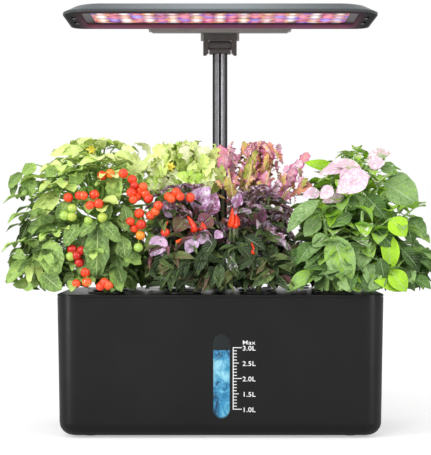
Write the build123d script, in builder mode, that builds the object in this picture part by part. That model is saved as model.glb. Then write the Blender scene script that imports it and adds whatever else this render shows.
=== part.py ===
from build123d import *

import os
from math import copysign, cos, pi, radians, sin, tan

# Countertop hydroponic garden: a moulded water tank with a level window, a lift-off grow deck
# that carries eight planted pods, a circulation pump and the controls, and a grow lamp that
# tilts on the head of a mast which slides in the deck. Millimetres, +Z up, front towards -Y,
# origin on the worktop under the middle of the tank.

os.makedirs("parts", exist_ok=True)

# ---- Tank ----
rim_width = 320.0
rim_depth = 165.0
rim_corner = 20.0
tank_top = 137.6
tank_wall = 2.6
floor_thick = 2.6
draft = 1.0
foot_proud = 2.0
bottom_round = 13.0
shadow_gap = 0.8
shadow_depth = 1.0
partition_inset = 51.5
partition_thick = 2.4
partition_drop = 21.6
foot_radius = 8.0
foot_thick = 3.0
foot_inset = 32.0
foot_fit = 0.1

# ---- Level window ----
window_x = 1.0
window_z = 60.8
window_width = 16.7
window_height = 81.5
window_recess = 0.6
window_fit = 0.1
lens_flange = 4.0
lens_flange_thick = 2.0
gasket_thick = 1.0
retainer_margin = 9.0
retainer_thick = 2.0
retainer_hole_margin = 6.8
boss_radius = 2.0
window_screw_radius = 1.0
window_screw_bite = 3.0
window_screw_head_radius = 1.8
window_screw_head = 1.2
window_screw_rows = (-30.0, 0.0, 30.0)
cut_over = 1.0

# ---- Grow deck ----
deck_thick = 2.4
deck_edge_round = 0.8
lip_depth = 8.0
lip_thick = 2.0
lip_fit = 0.5
pod_pitch = 75.0
pod_rows = (-48.0, 6.0)
pod_radius = 15.5
pod_fit = 0.3
pod_flange = 3.0
pod_flange_thick = 1.4
pod_depth = 46.0
pod_taper = 3.5
pod_wall = 1.2
pod_slot_width = 3.0
pod_slot_count = 8
pod_slot_height = 26.0
pod_slot_rise = 5.0
sponge_gap = 0.3
sponge_top_drop = 2.0
sponge_height = 36.0

# ---- Mast ----
mast_inset = 16.0
lobe_offset = 3.6
lobe_radius = 4.4
cable_bore = 2.4
cable_radius = 2.3
mast_down = 90.0
mast_in_head = 4.6
slide_fit = 0.3
socket_width = 23.0
socket_depth = 16.0
socket_round = 5.0
socket_flange = 5.0
socket_flange_depth = 1.0
socket_flange_thick = 2.0
socket_clear = 7.4
collar_width = 27.0
collar_depth = 19.0
collar_height = 9.0
collar_round = 6.0
collar_edge = 1.5

# ---- Mast head, yoke and tilt hinge ----
tilt_drop = 16.7
barrel_radius = 5.4
barrel_length = 23.2
head_collar_depth = 11.0
head_collar_drop = 9.2
head_collar_height = 5.4
head_edge = 1.6
pin_radius = 2.0
pin_fit = 0.05
yoke_gap = 24.4
yoke_width = 36.0
yoke_depth = 12.0
yoke_drop = 10.6
yoke_crown_clear = 5.8
yoke_corner = 3.0
pin_head_radius = 3.2
pin_head = 1.2
washer_radius = 4.6

# ---- Lamp head ----
lamp_width = 316.0
lamp_depth = 120.5
lamp_ahead = 8.5
lamp_corner = 14.0
lamp_front_corner = 30.0
lamp_bottom = 417.7
lamp_rim = 2.2
lamp_rise = 7.0
lamp_inset_x = 11.0
lamp_inset_y = 10.0
lamp_wall = 2.0
tray_fit = 0.3
tray_thick = 2.0
well_margin_x = 18.0
well_margin_y = 17.25
well_ahead = 0.75
well_corner = 8.0
board_gap = 1.4
board_thick = 1.2
board_margin = 5.0
board_corner = 14.0
reflector_end = 14.0
reflector_side = 6.0
led_size = 5.0
led_height = 0.9
led_columns = 21
led_end_gap = 18.0
led_side_gap = 21.0
led_pattern = "WRWBWR"
keyhole_gap = 9.0
keyhole_rows = (-15.75, 17.75)
keyhole_length = 20.0
keyhole_width = 4.6
keyhole_sink = 1.2
lamp_screw_radius = 1.2
lamp_screw_head_radius = 2.1
lamp_screw_head = 1.0
lamp_screw_inset = 0.4
lamp_boss_radius = 3.0
lamp_boss_height = 3.0
lip_screw_inset = 14.0

# ---- Hinge housing behind the lamp ----
hinge_width = 153.0
hinge_side_taper = 4.3
lip_reach = 6.0
hinge_behind = 10.5
hinge_drop = 4.4
hinge_step = 1.0
hinge_rise = 7.7
hinge_wall = 2.0
hinge_behind_gap = 0.3
hinge_lid_thick = 1.6
hinge_lid_ledge = 1.2
ear_thick = 2.5
ear_gap = 0.2
ear_drop = 10.0
ear_depth = 12.0
driver_width = 96.0
driver_depth = 11.0
driver_thick = 1.4
driver_post = 1.6
driver_screw_radius = 0.9
yoke_screw_x = 14.0
yoke_screw_radius = 1.4
yoke_screw_head_radius = 2.6
yoke_screw_head = 1.4

# ---- Control housing under the deck ----
control_x = (20.0, 120.0)
control_depth = 40.4
control_inset = 6.1
control_height = 39.6
control_wall = 2.0
control_corner = 4.0
board_drop = 9.6
control_board_thick = 1.6
control_board_margin = 1.0
standoff_radius = 2.6
standoff_inset = 6.0
board_screw_radius = 1.1
board_screw_head_radius = 2.0
board_screw_head = 1.2
board_screw_bite = 5.0
button_x = (50.0, 90.0)
button_radius = 5.0
button_fit = 0.3
button_proud = 1.5
button_flange = 1.5
button_flange_thick = 1.2
button_travel = 1.0
button_rest_gap = 0.1
switch_size = 6.0
switch_height = 3.4
plunger_radius = 1.6
plunger_gap = 0.15
inlet_x = 60.0
inlet_drop = 16.1
inlet_radius = 5.0
inlet_bore = 3.1
inlet_bore_depth = 9.5
inlet_length = 17.0
inlet_pin = 1.05
notch_width = 15.0
notch_depth = 24.0
notch_fit = 0.5

# ---- Pump ----
pump_x = (57.0, 89.0)
pump_y = (-36.0, -6.0)
pump_bottom = 12.0
pump_height = 32.0
pump_corner = 4.0
pump_bore = 10.0
pump_bore_start = 5.0
pump_cover_thick = 4.0
grille_slot = 2.2
grille_length = 16.0
grille_pitch = 4.4
grille_count = 5
shaft_radius = 1.2
shaft_fit = 0.05
shaft_seat = 3.0
rotor_end_gap = 0.6
magnet_radius = 7.0
magnet_length = 15.0
impeller_radius = 9.0
impeller_length = 9.0
blade_thick = 1.4
blade_count = 6
hub_radius = 3.0
outlet_radius = 3.4
spigot_radius = 5.0
spigot_height = 6.0
spigot_x = 81.0
riser_wall = 1.4
riser_drop = 5.0
riser_boss_wall = 2.2
riser_boss_height = 9.0
spray_radius = 2.5
pump_cable_radius = 1.8
pump_cable_x = 64.0
pump_cable_bend = 9.0
pump_cable_drop = 16.6

# ---- Plants ----
stem_radius = 3.0
foliage_reach_x = 213.0
foliage_reach_y = 97.0
foliage_split_y = -25.0
mast_room = 22.5
canopy_gap = 2.0
canopy_sides = 12
canopy_bulge = 0.7
front_canopy_lift = 6.0
back_canopy_lift = 10.0
# The swell of a canopy: its width at rising heights, both as shares of its greatest size.
canopy_swell = ((0.0, 0.7), (0.22, 0.95), (0.5, 1.0), (0.78, 0.84), (1.0, 0.42))
tomato_front_height = 130.0
pepper_left_height = 98.0
pepper_right_height = 96.0
basil_front_height = 120.0
tomato_back_height = 148.0
leaf_lettuce_height = 140.0
frilly_lettuce_height = 144.0
basil_back_height = 142.0

# ---- Worked out from the values above ----
floor_top = foot_proud + floor_thick
deck_top = tank_top + deck_thick
slope = tan(radians(draft))
partition_y = rim_depth / 2 - partition_inset
partition_top = tank_top - partition_drop
pod_columns = (-1.5 * pod_pitch, -0.5 * pod_pitch, 0.5 * pod_pitch, 1.5 * pod_pitch)
mast_y = rim_depth / 2 - mast_inset
tilt_z = lamp_bottom - tilt_drop
socket_bottom = floor_top + socket_clear
mast_bottom = socket_bottom + 2 * socket_flange_thick + mast_down
head_collar_bottom = tilt_z - head_collar_drop
mast_top = head_collar_bottom + mast_in_head
yoke_bottom = tilt_z - yoke_drop
yoke_crown = tilt_z + yoke_crown_clear
lamp_back = mast_y - lamp_ahead
lamp_y = lamp_back - lamp_depth / 2
well_y = lamp_y - well_ahead
well_width = lamp_width - 2 * well_margin_x
well_depth = lamp_depth - 2 * well_margin_y
led_pitch = (well_width - 2 * led_end_gap) / (led_columns - 1)
led_row_pitch = (well_depth - 2 * led_side_gap) / 2
keyhole_x = well_width / 2 + keyhole_gap
keyhole_y = [lamp_y + row for row in keyhole_rows]
hinge_front = lamp_back - lip_reach
hinge_back = mast_y + hinge_behind
lip_bottom = lamp_bottom - hinge_drop
hinge_bottom = lamp_bottom - hinge_step
hinge_top = lamp_bottom + hinge_rise
tray_top = lamp_bottom + tray_thick
led_board_z = tray_top + board_gap
pump_mid_y = sum(pump_y) / 2
pump_mid_z = pump_bottom + pump_height / 2
control_y = (rim_depth / 2 - control_inset - control_depth, rim_depth / 2 - control_inset)
control_mid = (sum(control_x) / 2, sum(control_y) / 2)
control_bottom = tank_top - control_height
button_y = control_mid[1]
board_z = tank_top - board_drop
inlet_z = tank_top - inlet_drop
pump_cable_z = tank_top - pump_cable_drop
standoffs = [(x, y) for x in (control_x[0] + standoff_inset, control_x[1] - standoff_inset)
             for y in (control_y[0] + standoff_inset, control_y[1] - standoff_inset)]
pods = [(x, y) for y in pod_rows for x in pod_columns]


def wall_y(z):
    """How far the drafted front and back walls stand from the middle at height z."""
    return rim_depth / 2 - slope * (tank_top - z)


# Plane of the drafted front wall at the window: +Z points out of the tank, +Y up the wall.
window_plane = Plane(
    origin=(window_x, -wall_y(window_z), window_z),
    x_dir=(1, 0, 0),
    z_dir=(0, -cos(radians(draft)), -sin(radians(draft))),
)
window_spots = [(side * (window_width / 2 + retainer_hole_margin), row)
                for side in (-1, 1) for row in window_screw_rows]


def window_slot(depth, grow=0.0):
    """A round-ended slot of the window's shape, parallel to the front wall at this depth in it."""
    with BuildSketch(window_plane.offset(-depth)) as slot:
        SlotOverall(window_height + 2 * grow, window_width + 2 * grow, rotation=90)
    return slot.sketch


# ================= Base: tank, window and feet =================

with BuildPart() as chambers:
    with BuildSketch(Plane.XY.offset(tank_top)):
        RectangleRounded(rim_width - 2 * tank_wall, rim_depth - 2 * tank_wall, rim_corner - tank_wall)
    extrude(amount=floor_top - tank_top, taper=draft)
    fillet(chambers.faces().sort_by(Axis.Z)[0].edges(), bottom_round - tank_wall)
    # the partition between the water in front and the dry bay behind is left standing
    with BuildSketch(Plane.XY.offset(floor_top)):
        with Locations((0, partition_y + partition_thick / 2)):
            Rectangle(rim_width, partition_thick)
    extrude(amount=partition_top - floor_top, mode=Mode.SUBTRACT)

with BuildPart() as tank:
    with BuildSketch(Plane.XY.offset(tank_top)):
        RectangleRounded(rim_width, rim_depth, rim_corner)
    extrude(amount=foot_proud - tank_top, taper=draft)
    fillet(tank.faces().sort_by(Axis.Z)[0].edges(), bottom_round)
    add(chambers.part, mode=Mode.SUBTRACT)
    # the rim steps in, which leaves a shadow line under the deck
    with BuildSketch(Plane.XY.offset(tank_top)):
        Rectangle(2 * rim_width, 2 * rim_depth)
        RectangleRounded(rim_width - 2 * shadow_depth, rim_depth - 2 * shadow_depth,
                         rim_corner - shadow_depth, mode=Mode.SUBTRACT)
    extrude(amount=-shadow_gap, mode=Mode.SUBTRACT)
    # sockets for the feet
    foot_spots = GridLocations(rim_width - 2 * foot_inset, rim_depth - 2 * foot_inset, 2, 2)
    with BuildSketch(Plane.XY.offset(foot_thick)):
        with foot_spots:
            Circle(foot_radius + foot_fit)
    extrude(amount=-foot_thick, mode=Mode.SUBTRACT)
    # window opening, with bosses round it for the retainer's screws
    extrude(window_slot(tank_wall + cut_over), amount=tank_wall + 2 * cut_over, mode=Mode.SUBTRACT)
    with BuildSketch(window_plane.offset(-tank_wall / 2)):
        with Locations(*window_spots):
            Circle(boss_radius)
    extrude(amount=-(tank_wall / 2 + gasket_thick + lens_flange_thick))
    with BuildSketch(window_plane.offset(-(tank_wall + gasket_thick + lens_flange_thick))):
        with Locations(*window_spots):
            Circle(window_screw_radius)
    extrude(amount=window_screw_bite, mode=Mode.SUBTRACT)
    # notch in the back rim for the power inlet
    with BuildSketch(Plane.XY.offset(tank_top)):
        with Locations((inlet_x, rim_depth / 2)):
            Rectangle(notch_width, 4 * tank_wall)
    extrude(amount=-notch_depth, mode=Mode.SUBTRACT)
tank.part.label = "tank"
export_step(tank.part, "parts/tank.step")

with BuildPart() as rubber_feet:
    with BuildSketch(Plane.XY):
        with GridLocations(rim_width - 2 * foot_inset, rim_depth - 2 * foot_inset, 2, 2):
            Circle(foot_radius)
    extrude(amount=foot_thick)
    chamfer(rubber_feet.faces().filter_by(Axis.Z).group_by(Axis.Z)[0].edges(), foot_proud / 3)
rubber_feet.part.label = "rubber_feet"
export_step(rubber_feet.part, "parts/rubber_feet.step")

with BuildPart() as window_lens:
    flange_front = tank_wall + gasket_thick
    extrude(window_slot(flange_front, -window_fit), amount=flange_front - window_recess)
    extrude(window_slot(flange_front + lens_flange_thick, lens_flange), amount=lens_flange_thick)
window_lens.part.label = "window_lens"
export_step(window_lens.part, "parts/window_lens.step")

with BuildPart() as window_gasket:
    extrude(window_slot(tank_wall + gasket_thick, lens_flange), amount=gasket_thick)
    extrude(window_slot(tank_wall + gasket_thick, window_fit), amount=gasket_thick,
            mode=Mode.SUBTRACT)
window_gasket.part.label = "window_gasket"
export_step(window_gasket.part, "parts/window_gasket.step")

retainer_front = tank_wall + gasket_thick + lens_flange_thick
with BuildPart() as window_retainer:
    extrude(window_slot(retainer_front + retainer_thick, retainer_margin), amount=retainer_thick)
    extrude(window_slot(retainer_front + retainer_thick), amount=retainer_thick,
            mode=Mode.SUBTRACT)
    with BuildSketch(window_plane.offset(-retainer_front - retainer_thick)):
        with Locations(*window_spots):
            Circle(window_screw_radius + window_fit)
    extrude(amount=retainer_thick, mode=Mode.SUBTRACT)
window_retainer.part.label = "window_retainer"
export_step(window_retainer.part, "parts/window_retainer.step")

with BuildPart() as window_screws:
    with BuildSketch(window_plane.offset(-retainer_front - retainer_thick)):
        with Locations(*window_spots):
            Circle(window_screw_radius)
    extrude(amount=retainer_thick + window_screw_bite)
    with BuildSketch(window_plane.offset(-retainer_front - retainer_thick)):
        with Locations(*window_spots):
            Circle(window_screw_head_radius)
    extrude(amount=-window_screw_head)
window_screws.part.label = "window_screws"
export_step(window_screws.part, "parts/window_screws.step")

# ================= Deck: plate, controls, mast guide =================

lip_width = rim_width - 2 * (tank_wall + lip_fit)
lip_span = rim_depth - 2 * (tank_wall + lip_fit)
lip_corner = rim_corner - tank_wall - lip_fit
riser_radius = spigot_radius + riser_wall
button_stem = deck_thick + button_proud + button_rest_gap

with BuildPart() as grow_deck:
    with BuildSketch(Plane.XY.offset(tank_top)):
        RectangleRounded(rim_width, rim_depth, rim_corner)
    extrude(amount=deck_thick)
    fillet(grow_deck.faces().sort_by(Axis.Z)[-1].edges(), deck_edge_round)
    # lip that centres the deck in the tank, broken where the power inlet goes through it
    with BuildSketch(Plane.XY.offset(tank_top)):
        RectangleRounded(lip_width, lip_span, lip_corner)
        RectangleRounded(lip_width - 2 * lip_thick, lip_span - 2 * lip_thick,
                         lip_corner - lip_thick, mode=Mode.SUBTRACT)
        with Locations((inlet_x, lip_span / 2)):
            Rectangle(notch_width + 2 * notch_fit, 4 * lip_thick, mode=Mode.SUBTRACT)
    extrude(amount=-lip_depth)
    # standoffs for the control board and the boss that holds the pump's riser
    with BuildSketch(Plane.XY.offset(tank_top)):
        with Locations(*standoffs):
            Circle(standoff_radius)
    extrude(amount=board_z + control_board_thick - tank_top)
    with BuildSketch(Plane.XY.offset(tank_top)):
        with Locations((spigot_x, pump_mid_y)):
            Circle(riser_radius + pod_fit + riser_boss_wall)
            Circle(riser_radius, mode=Mode.SUBTRACT)
    extrude(amount=-riser_boss_height)
    # pods, mast and buttons pass through the plate
    with BuildSketch(Plane.XY.offset(tank_top)):
        with Locations(*pods):
            Circle(pod_radius + pod_fit)
        with Locations((-lobe_offset, mast_y), (lobe_offset, mast_y)):
            Circle(lobe_radius + 2 * slide_fit)
        with Locations(*[(x, button_y) for x in button_x]):
            Circle(button_radius + button_fit)
    extrude(amount=deck_thick, mode=Mode.SUBTRACT)
    with BuildSketch(Plane.XY.offset(board_z + control_board_thick)):
        with Locations(*standoffs):
            Circle(board_screw_radius)
    extrude(amount=board_screw_bite, mode=Mode.SUBTRACT)
    # spray holes through the riser's boss
    with BuildSketch(Plane.YZ.offset(spigot_x)):
        with Locations((pump_mid_y, tank_top - riser_drop + spray_radius / 2)):
            Circle(spray_radius)
    extrude(amount=2 * riser_radius, both=True, mode=Mode.SUBTRACT)
grow_deck.part.label = "grow_deck"
export_step(grow_deck.part, "parts/grow_deck.step")

with BuildPart() as mast_socket:
    with BuildSketch(Plane.XY.offset(tank_top)):
        with Locations((0, mast_y)):
            RectangleRounded(socket_width, socket_depth, socket_round)
    extrude(amount=socket_bottom - tank_top)
    with BuildSketch(Plane.XY.offset(tank_top)):
        with Locations((0, mast_y)):
            RectangleRounded(socket_width + 2 * socket_flange, socket_depth + 2 * socket_flange_depth,
                             socket_round)
    extrude(amount=-socket_flange_thick)
    with BuildSketch(Plane.XY.offset(tank_top)):
        with Locations((-lobe_offset, mast_y), (lobe_offset, mast_y)):
            Circle(lobe_radius + slide_fit)
    extrude(amount=socket_bottom + socket_flange_thick - tank_top, mode=Mode.SUBTRACT)
mast_socket.part.label = "mast_socket"
export_step(mast_socket.part, "parts/mast_socket.step")

with BuildPart() as mast_collar:
    with BuildSketch(Plane.XY.offset(deck_top)):
        with Locations((0, mast_y)):
            RectangleRounded(collar_width, collar_depth, collar_round)
    extrude(amount=collar_height)
    chamfer(mast_collar.faces().sort_by(Axis.Z)[-1].edges(), collar_edge)
    with BuildSketch(Plane.XY.offset(deck_top)):
        with Locations((-lobe_offset, mast_y), (lobe_offset, mast_y)):
            Circle(lobe_radius + slide_fit)
    extrude(amount=collar_height, mode=Mode.SUBTRACT)
mast_collar.part.label = "mast_collar"
export_step(mast_collar.part, "parts/mast_collar.step")

with BuildPart() as control_housing:
    with BuildSketch(Plane.XY.offset(tank_top)):
        with Locations(control_mid):
            RectangleRounded(control_x[1] - control_x[0], control_y[1] - control_y[0], control_corner)
    extrude(amount=control_bottom - tank_top)
    # tongue that fills the notch in the tank's back rim
    with BuildSketch(Plane.XY.offset(tank_top)):
        with Locations((inlet_x, control_y[1] - control_wall / 2)):
            Rectangle(notch_width - 2 * notch_fit, 2 * (wall_y(tank_top - notch_depth) - control_y[1])
                      + control_wall)
    extrude(amount=notch_fit - notch_depth)
    with BuildSketch(Plane.XY.offset(tank_top)):
        with Locations(control_mid):
            RectangleRounded(control_x[1] - control_x[0] - 2 * control_wall,
                             control_y[1] - control_y[0] - 2 * control_wall,
                             control_corner - control_wall)
    extrude(amount=control_bottom + control_wall - tank_top, mode=Mode.SUBTRACT)
    with BuildSketch(Plane.XZ.offset(-control_y[1] + 2 * control_wall)):
        with Locations((inlet_x, inlet_z)):
            Circle(inlet_radius)
    extrude(amount=-rim_depth, mode=Mode.SUBTRACT)
    # entry of the pump's lead
    with BuildSketch(Plane.XZ.offset(-control_y[0])):
        with Locations((pump_cable_x, pump_cable_z)):
            Circle(pump_cable_radius)
    extrude(amount=-control_wall, mode=Mode.SUBTRACT)
control_housing.part.label = "control_housing"
export_step(control_housing.part, "parts/control_housing.step")

inlet_face = wall_y(tank_top - notch_depth)
with BuildPart() as power_inlet:
    with BuildSketch(Plane.XZ.offset(-inlet_face)):
        with Locations((inlet_x, inlet_z)):
            Circle(inlet_radius)
    extrude(amount=inlet_length)
    with BuildSketch(Plane.XZ.offset(-inlet_face)):
        with Locations((inlet_x, inlet_z)):
            Circle(inlet_bore)
            Circle(inlet_pin, mode=Mode.SUBTRACT)
    extrude(amount=inlet_bore_depth, mode=Mode.SUBTRACT)
power_inlet.part.label = "power_inlet"
export_step(power_inlet.part, "parts/power_inlet.step")

with BuildPart() as control_board:
    with BuildSketch(Plane.XY.offset(board_z)):
        with Locations(control_mid):
            Rectangle(control_x[1] - control_x[0] - 2 * (control_wall + control_board_margin),
                      control_y[1] - control_y[0] - 2 * (control_wall + control_board_margin))
        with Locations(*standoffs):
            Circle(board_screw_radius + pod_fit, mode=Mode.SUBTRACT)
    extrude(amount=control_board_thick)
control_board.part.label = "control_board"
export_step(control_board.part, "parts/control_board.step")

with BuildPart() as board_screws:
    with BuildSketch(Plane.XY.offset(board_z)):
        with Locations(*standoffs):
            Circle(board_screw_radius)
    extrude(amount=control_board_thick + board_screw_bite)
    with BuildSketch(Plane.XY.offset(board_z)):
        with Locations(*standoffs):
            Circle(board_screw_head_radius)
    extrude(amount=-board_screw_head)
board_screws.part.label = "board_screws"
export_step(board_screws.part, "parts/board_screws.step")

flange_bottom = tank_top - button_rest_gap - button_flange_thick
switch_base = board_z + control_board_thick
with BuildPart() as button_switches:
    with BuildSketch(Plane.XY.offset(switch_base)):
        with Locations(*[(x, button_y) for x in button_x]):
            Rectangle(switch_size, switch_size)
    extrude(amount=switch_height)
    with BuildSketch(Plane.XY.offset(switch_base + switch_height)):
        with Locations(*[(x, button_y) for x in button_x]):
            Circle(plunger_radius)
    extrude(amount=flange_bottom - button_travel - plunger_gap - switch_base - switch_height)
button_switches.part.label = "button_switches"
export_step(button_switches.part, "parts/button_switches.step")

for button_name, x in zip(("light_button", "pump_button"), button_x):
    with BuildPart() as button:
        with BuildSketch(Plane.XY.offset(flange_bottom)):
            with Locations((x, button_y)):
                Circle(button_radius + button_flange)
        extrude(amount=button_flange_thick)
        with BuildSketch(Plane.XY.offset(flange_bottom + button_flange_thick)):
            with Locations((x, button_y)):
                Circle(button_radius)
        extrude(amount=button_stem)
        chamfer(button.faces().sort_by(Axis.Z)[-1].edges(), button_proud / 3)
    button.part.label = button_name
    export_step(button.part, f"parts/{button_name}.step")

# ================= Pods =================

pod_tip = pod_radius - pod_taper
pod_bottom = deck_top - pod_depth

with BuildPart() as pod_baskets:
    with BuildSketch(Plane.XZ) as basket_section:
        with BuildLine():
            Polyline(
                (0, pod_bottom), (pod_tip, pod_bottom), (pod_radius, deck_top),
                (pod_radius + pod_flange, deck_top),
                (pod_radius + pod_flange, deck_top + pod_flange_thick),
                (pod_radius - pod_wall, deck_top + pod_flange_thick),
                (pod_tip - pod_wall, pod_bottom + pod_wall), (0, pod_bottom + pod_wall),
                close=True,
            )
        make_face()
    with BuildPart(mode=Mode.PRIVATE) as one_basket:
        revolve(basket_section.sketch, axis=Axis.Z)
        with Locations((0, 0, pod_bottom + pod_slot_rise + pod_slot_height / 2)):
            with PolarLocations(pod_radius, pod_slot_count):
                Box(2 * pod_taper + 4 * pod_wall, pod_slot_width, pod_slot_height,
                    mode=Mode.SUBTRACT)
    with Locations(*pods):
        add(one_basket.part)
pod_baskets.part.label = "pod_baskets"
export_step(pod_baskets.part, "parts/pod_baskets.step")

sponge_top = deck_top - sponge_top_drop
with BuildPart() as grow_sponges:
    with BuildSketch(Plane.XY.offset(sponge_top)):
        with Locations(*pods):
            Circle(pod_tip - pod_wall - sponge_gap)
    extrude(amount=-sponge_height)
grow_sponges.part.label = "grow_sponges"
export_step(grow_sponges.part, "parts/grow_sponges.step")

# ================= Pump =================

with BuildPart() as pump_body:
    with BuildSketch(Plane.XY.offset(pump_bottom)):
        with Locations((sum(pump_x) / 2, pump_mid_y)):
            Rectangle(pump_x[1] - pump_x[0], pump_y[1] - pump_y[0])
    extrude(amount=pump_height)
    fillet(pump_body.edges().filter_by(Axis.X), pump_corner)
    with BuildSketch(Plane.XY.offset(pump_bottom + pump_height)):
        with Locations((spigot_x, pump_mid_y)):
            Circle(spigot_radius)
    extrude(amount=spigot_height)
    # rotor chamber, blind towards the motor, with the seat for the ceramic shaft
    with BuildSketch(Plane.YZ.offset(pump_x[1])):
        with Locations((pump_mid_y, pump_mid_z)):
            Circle(pump_bore)
    extrude(amount=-(pump_x[1] - pump_x[0] - pump_bore_start), mode=Mode.SUBTRACT)
    with BuildSketch(Plane.YZ.offset(pump_x[0] + pump_bore_start)):
        with Locations((pump_mid_y, pump_mid_z)):
            Circle(shaft_radius)
    extrude(amount=-shaft_seat, mode=Mode.SUBTRACT)
    with BuildSketch(Plane.XY.offset(pump_mid_z)):
        with Locations((spigot_x, pump_mid_y)):
            Circle(outlet_radius)
    extrude(amount=pump_height, mode=Mode.SUBTRACT)
pump_body.part.label = "pump_body"
export_step(pump_body.part, "parts/pump_body.step")

with BuildPart() as pump_cover:
    with BuildSketch(Plane.YZ.offset(pump_x[1])):
        with Locations((pump_mid_y, pump_mid_z)):
            RectangleRounded(pump_y[1] - pump_y[0], pump_height, pump_corner)
            with GridLocations(0, grille_pitch, 1, grille_count):
                SlotOverall(grille_length, grille_slot, mode=Mode.SUBTRACT)
            Circle(hub_radius)
    extrude(amount=pump_cover_thick)
    with BuildSketch(Plane.YZ.offset(pump_x[1])):
        with Locations((pump_mid_y, pump_mid_z)):
            Circle(shaft_radius)
    extrude(amount=shaft_seat, mode=Mode.SUBTRACT)
pump_cover.part.label = "pump_cover"
export_step(pump_cover.part, "parts/pump_cover.step")

with BuildPart() as pump_shaft:
    with BuildSketch(Plane.YZ.offset(pump_x[0] + pump_bore_start - shaft_seat)):
        with Locations((pump_mid_y, pump_mid_z)):
            Circle(shaft_radius)
    extrude(amount=pump_x[1] - pump_x[0] - pump_bore_start + 2 * shaft_seat)
pump_shaft.part.label = "pump_shaft"
export_step(pump_shaft.part, "parts/pump_shaft.step")

rotor_start = pump_x[0] + pump_bore_start + rotor_end_gap
with BuildPart() as pump_rotor:
    with BuildSketch(Plane.YZ.offset(rotor_start)):
        with Locations((pump_mid_y, pump_mid_z)):
            Circle(magnet_radius)
    extrude(amount=magnet_length)
    with BuildSketch(Plane.YZ.offset(rotor_start + magnet_length)):
        with Locations((pump_mid_y, pump_mid_z)):
            Circle(hub_radius)
            with PolarLocations(impeller_radius / 2, blade_count):
                Rectangle(impeller_radius, blade_thick)
            Circle(impeller_radius, mode=Mode.INTERSECT)
    extrude(amount=impeller_length)
    with BuildSketch(Plane.YZ.offset(rotor_start)):
        with Locations((pump_mid_y, pump_mid_z)):
            Circle(shaft_radius + shaft_fit)
    extrude(amount=magnet_length + impeller_length, mode=Mode.SUBTRACT)
pump_rotor.part.label = "pump_rotor"
export_step(pump_rotor.part, "parts/pump_rotor.step")

riser_bottom = pump_bottom + pump_height
with BuildPart() as pump_riser:
    with BuildSketch(Plane.XY.offset(riser_bottom)):
        with Locations((spigot_x, pump_mid_y)):
            Circle(riser_radius)
            Circle(spigot_radius, mode=Mode.SUBTRACT)
    extrude(amount=tank_top - riser_drop - spray_radius - riser_bottom)
pump_riser.part.label = "pump_riser"
export_step(pump_riser.part, "parts/pump_riser.step")

with BuildPart() as pump_cable:
    with BuildLine() as cable_route:
        FilletPolyline(
            (pump_cable_x, pump_mid_y, riser_bottom),
            (pump_cable_x, pump_mid_y, pump_cable_z),
            (pump_cable_x, control_y[0] + control_wall, pump_cable_z),
            radius=pump_cable_bend,
        )
    with BuildSketch(Plane.XY.offset(riser_bottom)):
        with Locations((pump_cable_x, pump_mid_y)):
            Circle(pump_cable_radius)
    sweep(path=cable_route.line)
pump_cable.part.label = "pump_cable"
export_step(pump_cable.part, "parts/pump_cable.step")

# ================= Plants =================


def canopy_outline(pod, middle, half, swell):
    """One level outline of a canopy. It is a rounded box that is drawn in towards the pod."""
    points = []
    for corner in range(canopy_sides):
        turn = 2 * pi * corner / canopy_sides
        points.append(tuple(
            centre + (foot - centre) * (1 - swell)
            + reach * swell * copysign(abs(side) ** canopy_bulge, side)
            for foot, centre, reach, side in zip(pod, middle, half, (cos(turn), sin(turn)))
        ))
    return points


column_edges = (-foliage_reach_x, -pod_pitch, 0, pod_pitch, foliage_reach_x)
row_edges = (-foliage_reach_y, foliage_split_y, foliage_reach_y)
for row, (lift, plants) in enumerate((
    (front_canopy_lift, (("tomato_front", tomato_front_height),
                         ("pepper_left", pepper_left_height),
                         ("pepper_right", pepper_right_height),
                         ("basil_front", basil_front_height))),
    (back_canopy_lift, (("tomato_back", tomato_back_height),
                        ("leaf_lettuce", leaf_lettuce_height),
                        ("frilly_lettuce", frilly_lettuce_height),
                        ("basil_back", basil_back_height))),
)):
    for column, (plant_name, height) in enumerate(plants):
        left, right = column_edges[column:column + 2]
        front, back = row_edges[row:row + 2]
        # the lettuces leave room for the mast
        if abs(pod_columns[column]) < pod_pitch:
            back = min(back, mast_y - mast_room)
        pod = (pod_columns[column], pod_rows[row])
        middle = ((left + right) / 2, (front + back) / 2)
        half = ((right - left - canopy_gap) / 2, (back - front - canopy_gap) / 2)
        with BuildPart() as plant:
            for share, swell in canopy_swell:
                with BuildSketch(Plane.XY.offset(deck_top + lift + share * height)):
                    with BuildLine():
                        Polyline(*canopy_outline(pod, middle, half, swell), close=True)
                    make_face()
            loft(ruled=True)
            with BuildSketch(Plane.XY.offset(sponge_top)):
                with Locations(pod):
                    Circle(stem_radius)
            extrude(amount=deck_top + lift + stem_radius - sponge_top)
        plant.part.label = plant_name
        export_step(plant.part, f"parts/{plant_name}.step")

# ================= Mast =================

with BuildPart() as mast_tube:
    with BuildSketch(Plane.XY.offset(mast_bottom)):
        with Locations((-lobe_offset, mast_y), (lobe_offset, mast_y)):
            Circle(lobe_radius)
        with Locations((lobe_offset, mast_y)):
            Circle(cable_bore, mode=Mode.SUBTRACT)
    extrude(amount=mast_top - mast_bottom)
mast_tube.part.label = "mast_tube"
export_step(mast_tube.part, "parts/mast_tube.step")

with BuildPart() as mast_cable:
    with BuildSketch(Plane.XY.offset(mast_bottom)):
        with Locations((lobe_offset, mast_y)):
            Circle(cable_radius)
    extrude(amount=mast_top - mast_bottom)
mast_cable.part.label = "mast_cable"
export_step(mast_cable.part, "parts/mast_cable.step")

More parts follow.
